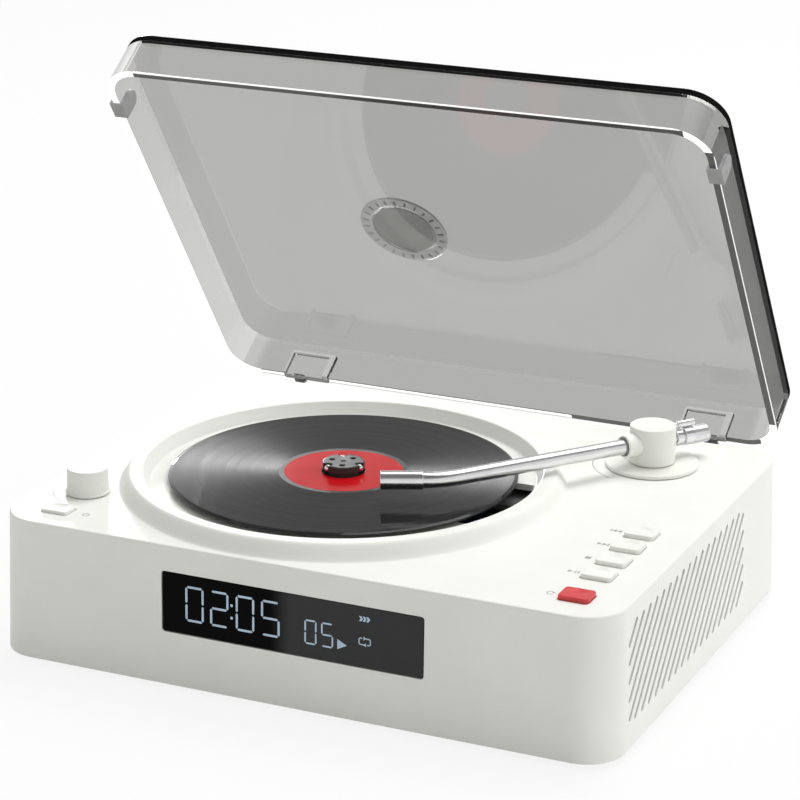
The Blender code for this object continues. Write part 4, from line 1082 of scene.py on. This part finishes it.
def makeHub():
    top, radius, under, waist = hub["top"], hub["radius"], hub["under"], hub["radius"] - 0.0004
    plateUnder = under - hub["plateThick"]
    body = spun("hubBody", [
        (0, top - hub["lip"]), (radius - 0.0008, top - hub["lip"]), (radius - 0.0006, top, 0.0001),
        (radius, top, 0.0003), (radius, disc["top"] + 0.0012, 0.0002), (waist, disc["top"] + 0.0009),
        (waist, under), (hub["plate"], under), (hub["plate"], plateUnder), (hub["neck"], plateUnder),
        (hub["neck"], hub["foot"]), (hub["shaft"], hub["foot"]), (hub["shaft"], top - hub["shaftDepth"]),
        (0, top - hub["shaftDepth"]),
    ], 72)
    inner, outer = hub["cap"]
    capUnder = top - hub["capThick"]
    cap = spun("hubCap", [
        (inner, capUnder), (inner, top, 0.0001), (outer, top, 0.0001), (outer, capUnder), (inner, capUnder),
    ], 72)

    def bored(piece, circle, turn, height, profile, steps):
        at = moved((circle * math.cos(turn), circle * math.sin(turn), height))
        cutAway(piece, setPlace(spun("pocket", profile, steps), at))

    ballZ = top - hub["ballDrop"]
    clearSelection()
    bpy.ops.mesh.primitive_uv_sphere_add(segments=32, ring_count=16, radius=hub["ball"])
    ball = bpy.context.object
    pick(ball, "FACE", lambda centre, normal: centre.z > hub["ball"] * 0.93)  # ground flat on top
    bpy.ops.transform.resize(
        value=(1, 1, 0), center_override=(0, 0, hub["ball"] * 0.95), constraint_axis=(False, False, True))
    endEdit()
    for index, piece in enumerate(repeated(ball, 3)):
        turn = math.radians(hub["turn"] + 120 * index)
        for holed in (body, cap):
            bored(holed, hub["ballCircle"], turn, ballZ, pin(hub["pocket"], -0.002, 0.01), 24)
        x, y = hub["ballCircle"] * math.cos(turn), hub["ballCircle"] * math.sin(turn)
        piece.name = "clampBall%d" % (index + 1)
        setPlace(piece, moved((discX + x, discY + y, ballZ)))
        finished(piece, chrome, "disc_stack", "chrome", "hub_ball_%d" % (index + 1), degrees=60)
    for turn in hub["holeTurns"]:
        for holed, hole in ((cap, hub["capHole"]), (body, hub["bodyHole"])):
            bored(holed, hub["holeCircle"], math.radians(turn), top, pin(hole, -0.0016, 0.004), 20)
    finished(setPlace(body, discAt), darkPlastic, "disc_stack", "grey_plastic", "spindle_hub", degrees=30)
    finished(setPlace(cap, discAt), hubTopPlastic, "disc_stack", "grey_plastic", degrees=30)


makeDisc()
makeHub()
print("disc made")


# Tonearm: everything from the pillar's axis at the deck

arm = {
    "height": 0.0085, "bend": (-0.04837, -0.0723, 0.01095), "shell": (-0.05377, -0.0747, 0.01095),
    "tip": (-0.06687, -0.0808, 0.01095), "tube": 0.0027, "shellRadius": 0.0032, "bendLength": 0.0075,
    "tubeAt": (0.0093, 0.03, 0.06), "bendSteps": 16, "trimRise": 0.0047, "weightAt": -0.0053,
    "knurl": (0.0116, 0.0173), "knurlWidth": 0.00006, "knurlDepth": -0.00012,
    "base": [(0.0043, -0.0047), (0.0043, 0.0014), (0.0160, 0.0014, 0.0004), (0.01625, 0.0003, 0.0001),
             (0.0060, 0.0003), (0.0060, -0.0047), (0.0043, -0.0047)],
    "pillar": [(0, 0.01485), (0.0080, 0.01485, 0.0006), (0.0080, 0.0017, 0.0002), (0.0040, 0.0017),
               (0.0040, -0.0072), (0, -0.0072)],
    "collar": [(0, 0), (0.0041, 0), (0.0041, 0.0085, 0.0004), (0, 0.0085)],
    "weight": [
        (0, 0), (0.0020, 0), (0.0020, 0.0037), (0.0030, 0.0039, 0.0004), (0.0030, 0.0066, 0.0004),
        (0.0022, 0.0070), (0.0022, 0.0073), (0.0033, 0.0074, 0.0003), (0.0033, 0.0106, 0.0001),
        (0.0031, 0.0107), (0.0031, 0.0111), (0.0033, 0.0112, 0.0001), (0.0033, 0.0177, 0.0004),
        (0.0020, 0.0177, 0.0001), (0.0018, 0.0173), (0, 0.0173)],
    "trim": [(0, 0), (0.0007, 0), (0.0007, 0.0037), (0.0013, 0.0038, 0.0002), (0.0013, 0.0109, 0.0003),
             (0, 0.0109)],
}
armAt = moved((armX, armY, deck))
armHeading = (Vector(arm["bend"]) - Vector((0, 0, arm["height"]))).normalized()


def onArm(distance, rise=0):
    return Vector((0, 0, arm["height"] + rise)) + armHeading * distance


def alongArm(name, start, profile, steps, towards=1, rise=0):
    # a turned piece on the arm's line, towards the disc or (-1) away from it
    return rod(name, onArm(start, rise), onArm(towards, rise), profile, steps)


def armPiece(piece, material, slotName, node):
    return finished(setPlace(piece, armAt), material, "tonearm", slotName, node, degrees=30)


def makeArmBase():
    base = setPlace(spun("armBase", arm["base"], 96), armAt)
    finished(base, whitePlastic, "case", "white_plastic", "tonearm_base", degrees=30)
    pillar = spun("armPillar", arm["pillar"], 96)
    weld(pillar, alongArm("collar", 0.004, arm["collar"], 64))
    cutAway(pillar, alongArm("recess", 0.009, pin(0.0034, 0, 0.009), 48))
    cutAway(pillar, alongArm("socket", -0.005, pin(0.0023, 0, 0.009), 32, -1))
    cutAway(pillar, alongArm("socket", -0.0063, pin(0.001, 0, 0.009), 24, -1, arm["trimRise"]))
    armPiece(pillar, whitePlastic, "white_plastic", "tonearm_pillar")


def makeTube():
    # a straight run from the pillar, a smooth bend and a short level run
    bend, shell = Vector(arm["bend"]), Vector(arm["shell"])
    before = bend - armHeading * arm["bendLength"]
    after = bend + (shell - bend).normalized() * (shell - bend).length * 0.9
    points = [onArm(distance) for distance in arm["tubeAt"]]
    for index in range(arm["bendSteps"] + 1):
        share = index / arm["bendSteps"]
        points.append(before.lerp(bend, share).lerp(bend.lerp(after, share), share))
    points.append(shell - (shell - bend).normalized() * 0.0001)
    clearSelection()
    bpy.ops.curve.primitive_nurbs_path_add(location=(0, 0, 0))
    line = added("armTube")
    line.data.splines.clear()
    run = line.data.splines.new("POLY")
    run.points.add(len(points) - 1)
    for target, point in zip(run.points, points):
        target.co = (*point, 1)
    line.data.bevel_depth = arm["tube"]
    line.data.bevel_resolution = 10
    line.data.use_fill_caps = True
    bpy.ops.object.convert(target="MESH")
    tube = bpy.context.object
    startEdit(tube, "VERT")
    closeMesh()
    armPiece(tube, chrome, "chrome", "tonearm_tube")
    length, radius = (Vector(arm["tip"]) - shell).length, arm["shellRadius"]
    head = rod("armHead", shell, arm["tip"], [
        (0, 0), (radius - 0.0001, 0, 0.0003), (radius, 0.0006, 0.0002), (radius, length, 0.0002),
        (radius - 0.0006, length, 0.0001), (radius - 0.0007, length - 0.0004), (0, length - 0.0004),
    ], 64)
    armPiece(head, chrome, "chrome", "headshell")


def makeWeights():
    # the counterweight with its knurled rim, and the small rod above it
    weight = alongArm("armWeight", arm["weightAt"], arm["weight"], 48, -1)
    axis = onArm(-1) - onArm(0)
    start = onArm(arm["weightAt"])
    low, high = arm["knurl"]

    def onRim(centre, normal):
        return low < (centre - start).dot(axis.normalized()) < high and abs(normal.dot(axis)) < 0.1

    pick(weight, "FACE", onRim)
    bpy.ops.mesh.inset(thickness=arm["knurlWidth"], depth=arm["knurlDepth"], use_individual=True)
    endEdit()
    armPiece(weight, chrome, "chrome", "counterweight")
    trim = alongArm("armTrim", -0.0066, arm["trim"], 32, -1, arm["trimRise"])
    armPiece(trim, chrome, "chrome", "trim_weight")


makeArmBase()
makeTube()
makeWeights()
print("tonearm made")


# Lid, modelled closed round its hinge and then swung open

lid = {
    "half": 0.1093, "front": -0.16664, "rear": -0.00275, "rim": 0.0051, "top": 0.0225, "wall": 0.0026,
    "panel": 0.0027, "corner": 0.0135, "edge": 0.0005, "split": 0.00002, "rimSoft": 0.0002, "seam": 0.0032,
}
lidAt = moved(hinge) @ turned(-lidOpen, "X")


def lidPiece(piece, material, slotName, *nodes, degrees=35):
    piece.visible_shadow = False
    piece.visible_diffuse = False
    return finished(setPlace(piece, lidAt), material, "lid", slotName, *nodes, degrees=degrees)


def makePanel():
    # the flat top of the lid with its outer edge
    half = lid["half"]
    panel = softBox(
        "lidPanel", (-half, lid["front"], lid["top"] - lid["panel"]), (half, lid["rear"], lid["top"]),
        lid["corner"], lid["edge"], 14, 5)
    lidPiece(panel, smokyPanel, "smoky_plastic", "lid")
    # painted shade on the panel's edge faces
    addMaterial(panel, panelEdge, lambda centre, normal: abs(normal.dot(lidUp)) < 0.2)


lug = {
    "below": 0.0006, "above": 0.0100, "reach": 0.0042, "frame": 0.0024, "corner": 0.0009, "soft": 0.0004,
    "roof": 0.0013, "innerCorner": 0.0006, "innerSoft": 0.0003, "tongue": (0.0018, 0.0031),
    "foot": -0.0012, "armTop": 0.0011, "armBack": 0.0030, "knuckle": 0.0015, "fillet": 0.0002,
    "bore": 0.0010, "past": 0.001,
}


def makeLug(side):
    # a clear frame on the rear wall's inner face, with a tongue that reaches down to the hinge pin
    low, high = lugs[side]
    left, right = knuckles[side]
    rear, rim, frame, past, fillet = lid["rear"], lid["rim"], lug["frame"], lug["past"], lug["fillet"]
    bottom, top = rim - lug["below"], rim + lug["above"]
    front = rear - lug["reach"]
    foot, back = lug["foot"], lug["armBack"]
    block = softBox(
        side + "Lug", (low, front, bottom), (high, rear - 0.0004, top), lug["corner"], lug["soft"], 4, 3)
    cutAway(block, softBox(
        "pocket", (low + frame * 0.45, front - past, bottom - past),
        (high - frame, rear - lid["wall"] - 0.00015, top - lug["roof"]), lug["innerCorner"],
        lug["innerSoft"], 3, 2))
    tongue = box("tongue", (left, lug["tongue"][0], foot), (right, lug["tongue"][1], rim + 0.0010))
    arm = box("arm", (left, 0, foot), (right, back, lug["armTop"]))
    knuckle = rod("knuckle", (left + 0.0001, 0, 0), (right, 0, 0), [
        (0, 0), (lug["knuckle"], 0, fillet), (lug["knuckle"], right - left - 0.0002, fillet),
        (0, right - left - 0.0002)])
    shelf = box("shelf", (left, rear - 0.0010, rim + 0.0001), (right, back, rim + 0.0011))
    weld(block, shelf, tongue, arm, knuckle)
    profile = pin(lug["bore"], 0, right - left + past * 2)
    return cutAway(block, rod("bore", (left - past, 0, 0), (right + past, 0, 0), profile, 24))


def makeWalls():
    # the four walls, open at the rim, with a lug at each hinge
    half, wall, corner, rim = lid["half"], lid["wall"], lid["corner"], lid["rim"]
    top = lid["top"] - lid["panel"] - lid["split"]
    walls = softBox(
        "lidWalls", (-half, lid["front"], rim), (half, lid["rear"], top), corner, 0, 14, 3, lid["rimSoft"])
    hollow = softBox(
        "hollow", (-half + wall, lid["front"] + wall, rim - 0.01),
        (half - wall, lid["rear"] - wall, top + 0.01), corner - wall, 0, 14)
    cutAway(walls, hollow)
    weld(walls, makeLug("left"), makeLug("right"))
    straight = half - corner
    front, rear = lid["front"] + corner, lid["rear"] - corner
    seamLeft = -straight - lid["seam"]
    for place, across in (((seamLeft, 0, 0), (1, 0, 0)), ((straight, 0, 0), (1, 0, 0)),
                          ((0, front, 0), (0, 1, 0)), ((0, rear, 0), (0, 1, 0))):
        startEdit(walls, "VERT", "SELECT")
        bpy.ops.mesh.bisect(plane_co=place, plane_no=across)
        endEdit()
    lidPiece(walls, clearWall, "smoky_plastic", "lid")

    def onRight(centre, normal):
        return centre.x > half - wall - 0.0001

    def onRim(centre, normal):
        return -0.0002 < (centre - hinge).dot(lidUp) - rim < 0.0005 and normal.dot(lidUp) < -0.3

    def onSeam(centre, normal):
        # the seam under the panel, along the front wall and the right wall
        reach = (centre - hinge).dot(lidAhead)
        alongFront = seamLeft < centre.x < straight and reach > -front - 0.0010
        alongRight = centre.x > straight and -rear < reach < -front
        onTop = normal.dot(lidUp) > 0.9 and (centre - hinge).dot(lidUp) > top - 0.0001
        return onTop and (alongFront or alongRight)

    addMaterial(walls, shadedWall, onRight)
    # painted shade: the seam faces get the panel's near-black edge colour
    addMaterial(walls, panelEdge, onSeam)
    # painted light on the rim: a painted glow with painted shade
    addMaterial(walls, rimPaintedLight, onRim)


badge = {
    "x": -0.0235, "reach": 0.0763, "radius": 0.0164, "inner": 0.0120, "thick": 0.0012, "ribs": 24,
    "rise": 0.0003, "line": 0.0004, "ribWidth": 0.0008, "ribThick": 0.0002, "ribIn": 0.0012,
    "ribOut": 0.0010,
}


def makeBadge():
    # a round plate: a plain middle with a dark edge line that is partly painted shade, and a border with
    # short ribs
    thick, inner, radius = badge["thick"], badge["inner"], badge["radius"]
    border = spun("badgeBorder", [
        (inner + 0.0001, 0), (radius, 0, 0.0001), (radius, thick * 0.5, 0.0003),
        (radius - 0.0006, thick, 0.0002), (inner + 0.0001, thick, 0.0001), (inner + 0.0001, 0)])
    middle = spun("badgeMiddle", [
        (0, 0.0001), (inner - 0.0006, 0.0001, 0.0001), (inner - 0.0005, thick - 0.0003, 0.0001),
        (0, thick - 0.0003)])
    # partly painted shade: a dark ring round the edge of the middle
    line = spun("badgeLine", hoop(inner - badge["line"], inner, 0, thick))
    halfRib = badge["ribWidth"] / 2
    rib = softBox(
        "rib", (-halfRib, inner + badge["ribIn"], -badge["ribThick"]),
        (halfRib, radius - badge["ribOut"], 0), 0.0003, 0, 3)
    ribs = repeated(rib, badge["ribs"])
    for index, piece in enumerate(ribs):
        setPlace(piece, Matrix.Rotation(math.tau * index / badge["ribs"], 4, "Z"))
    dark = joined("badgeRibs", ribs + [line])
    at = moved((badge["x"], lid["rear"] - badge["reach"], lid["top"] + badge["rise"]))
    for piece, material in ((border, badgeRing), (middle, badgeMiddle), (dark, badgeDark)):
        setPlace(piece, at)
        nodes = ["lid_badge"] if piece == border else []
        lidPiece(piece, material, "grey_plastic", *nodes, degrees=30)


bumper = {
    "inset": 0.0167, "length": 0.0066, "thin": 0.0006, "thick": 0.0013, "base": 0.0006, "height": 0.0012,
    "tabHeight": 0.0052, "gap": 0.0003, "soft": 0.0002,
}


def makeBumper(side, name):
    # the same clip on both rims: a pad under the rim, and a round tab up the wall's right face
    wallLeft, wallRight = sorted((side * lid["half"], side * (lid["half"] - lid["wall"])))
    gap, thick, radius = bumper["gap"], bumper["thick"], bumper["length"] / 2
    left, right = wallLeft - gap - bumper["thin"], wallRight + gap + thick
    front = lid["front"] + bumper["inset"]
    back = front + bumper["length"]
    padTop = lid["rim"] - gap
    middle = (front + back) / 2
    tabZ = padTop + bumper["tabHeight"]
    low, high = padTop - bumper["base"], lid["rim"] + bumper["height"]
    clip = box(name + "Bumper", (left, front, low), (right, back, high))
    tab = rod("tab", (right - thick, middle, tabZ), (right, middle, tabZ), pin(radius, 0, thick), 48)
    weld(clip, box("web", (right - thick, front, padTop), (right, back, tabZ)), tab)
    cutAway(clip, box(
        "slot", (wallLeft - gap, front - 0.01, padTop), (wallRight + gap, back + 0.01, lid["top"])))
    makeActive(clip)
    soften = clip.modifiers.new("soften", "BEVEL")
    soften.width = bumper["soft"]
    soften.segments = 2
    soften.limit_method = "ANGLE"
    soften.angle_limit = math.radians(50)
    bpy.ops.object.modifier_apply(modifier=soften.name)
    lidPiece(clip, bumperRubber, "grey_plastic", "lid_bumper_" + name)


makePanel()
makeWalls()
makeBadge()
makeBumper(-1, "left")
makeBumper(1, "right")
print("lid made")


# The CAD nodes that stay get their finishes

nodeFinish = (
    (darkPlastic, ("bottom_cover", "hinge_bracket_", "dc_inlet", "tonearm_switch", "pickup_sled")),
    (steel, ("case_screw_", "hinge_pin_", "guide_rod_", "lead_screw", "sled_motor", "spindle_motor",
             "volume_pot", "volume_shaft")),
    (circuitGreen, ("main_board", "display_board", "button_board", "control_board")),
    (blackRubber, ("foot_", "damper_")), (lensGlass, ("pickup_lens",)),
    (greyPlastic, ("mechanism_chassis",)), (batteryWrap, ("battery_pack",)), (speakerBlack, ("speaker_",)),
)
for name, node in frame["nodes"].items():
    for material, starts in nodeFinish:
        if name.startswith(starts):
            node.data.materials.clear()
            node.data.materials.append(material)
print("finishes given")


# Floor, light and camera

studio = {
    "floor": 6, "floorGlow": 0.87, "sky": 0.52, "ceiling": 0.2, "ceilingLow": 0.35, "ceilingHigh": 0.8,
    "lampTarget": (0, 0, 0.05), "lens": 133.83, "sensor": 36, "eye": (0.39676, -0.875458, 0.40453),
    "turn": 24.539, "down": 18.731, "roll": 0.114,
    "lamps": {  # place, size, power, mirrored or only lighting
        "keyLamp": ((0.2, 0.75, 1.45), 1.2, 18.3, False), "sideLamp": ((1.5, 0.1, 0.5), 0.8, 4.5, False),
        "backLamp": ((-1.1, 1.5, 0.28), 0.35, 18, True),
    },
}


def makeFloor():
    clearSelection()
    bpy.ops.mesh.primitive_plane_add(size=studio["floor"], location=(0, 0, 0))
    floor = added("studioFloor")
    material, tree, shader = newMaterial("paleFloor")
    tint = colours(tree, effect(tree, mouldedSkin, 300, 3).outputs["Tone"], (0, 0.84), (1, 0.86))
    fill(tree, shader, {"Base Color": tint, "Roughness": 0.9, "Specular IOR Level": 0})
    path = addNode(tree, "LightPath").outputs
    seen = [path["Is %s Ray" % kind] for kind in ("Camera", "Transmission", "Glossy")]
    share = combined(tree, "MULTIPLY", combined(tree, "MAXIMUM", *seen), studio["floorGlow"])
    mix = blend(tree, share, shader, addNode(tree, "Emission"))
    fill(tree, tree.nodes["Material Output"], {"Surface": mix.outputs[0]})
    floor.data.materials.append(material)


def makeSky():
    # white behind the object; metal and glass mirror a ceiling that is dimmer than the horizon
    sky = bpy.data.worlds.new("paleSky")
    bpy.context.scene.world = sky
    sky.use_nodes = True
    tree = sky.node_tree
    light = tree.nodes["Background"]
    fill(tree, light, {"Color": colour(1), "Strength": studio["sky"]})
    place = addNode(tree, "TexCoord").outputs["Generated"]
    rise = ranged(
        tree, addNode(tree, "SeparateXYZ", (place,)).outputs["Z"], studio["ceilingLow"],
        studio["ceilingHigh"], 1, studio["ceiling"], interpolation_type="SMOOTHSTEP")
    mirrored = addNode(tree, "Background", {"Strength": rise})
    seen = addNode(tree, "Background", {"Color": colour(1), "Strength": 1})
    path = addNode(tree, "LightPath").outputs
    direct = combined(tree, "MAXIMUM", path["Is Camera Ray"], path["Is Transmission Ray"])
    mix = blend(tree, direct, blend(tree, path["Is Glossy Ray"], light, mirrored), seen)
    fill(tree, tree.nodes["World Output"], {"Surface": mix.outputs[0]})


def makeLamp(name, place, size, power, mirrored):
    clearSelection()
    bpy.ops.object.light_add(type="AREA", location=place)
    lamp = added(name)
    lamp.data.shape = "DISK"
    lamp.data.size = size
    lamp.data.energy = power
    aim = Vector(studio["lampTarget"]) - Vector(place)
    lamp.rotation_euler = aim.to_track_quat("-Z", "Y").to_euler()
    lamp.visible_glossy = mirrored
    lamp.visible_diffuse = not mirrored


def makeCamera():
    clearSelection()
    bpy.ops.object.camera_add()
    camera = added("photoCamera")
    camera.data.lens = studio["lens"]
    camera.data.sensor_width = studio["sensor"]
    look = turned(studio["turn"], "Z") @ turned(90 - studio["down"], "X")
    camera.matrix_world = moved(studio["eye"]) @ look @ turned(studio["roll"], "Z")
    bpy.context.scene.camera = camera


makeFloor()
makeSky()
for name, lamp in studio["lamps"].items():
    makeLamp(name, *lamp)
makeCamera()
bpy.context.scene.view_settings.view_transform = "Standard"
clearSelection()
print("studio made")
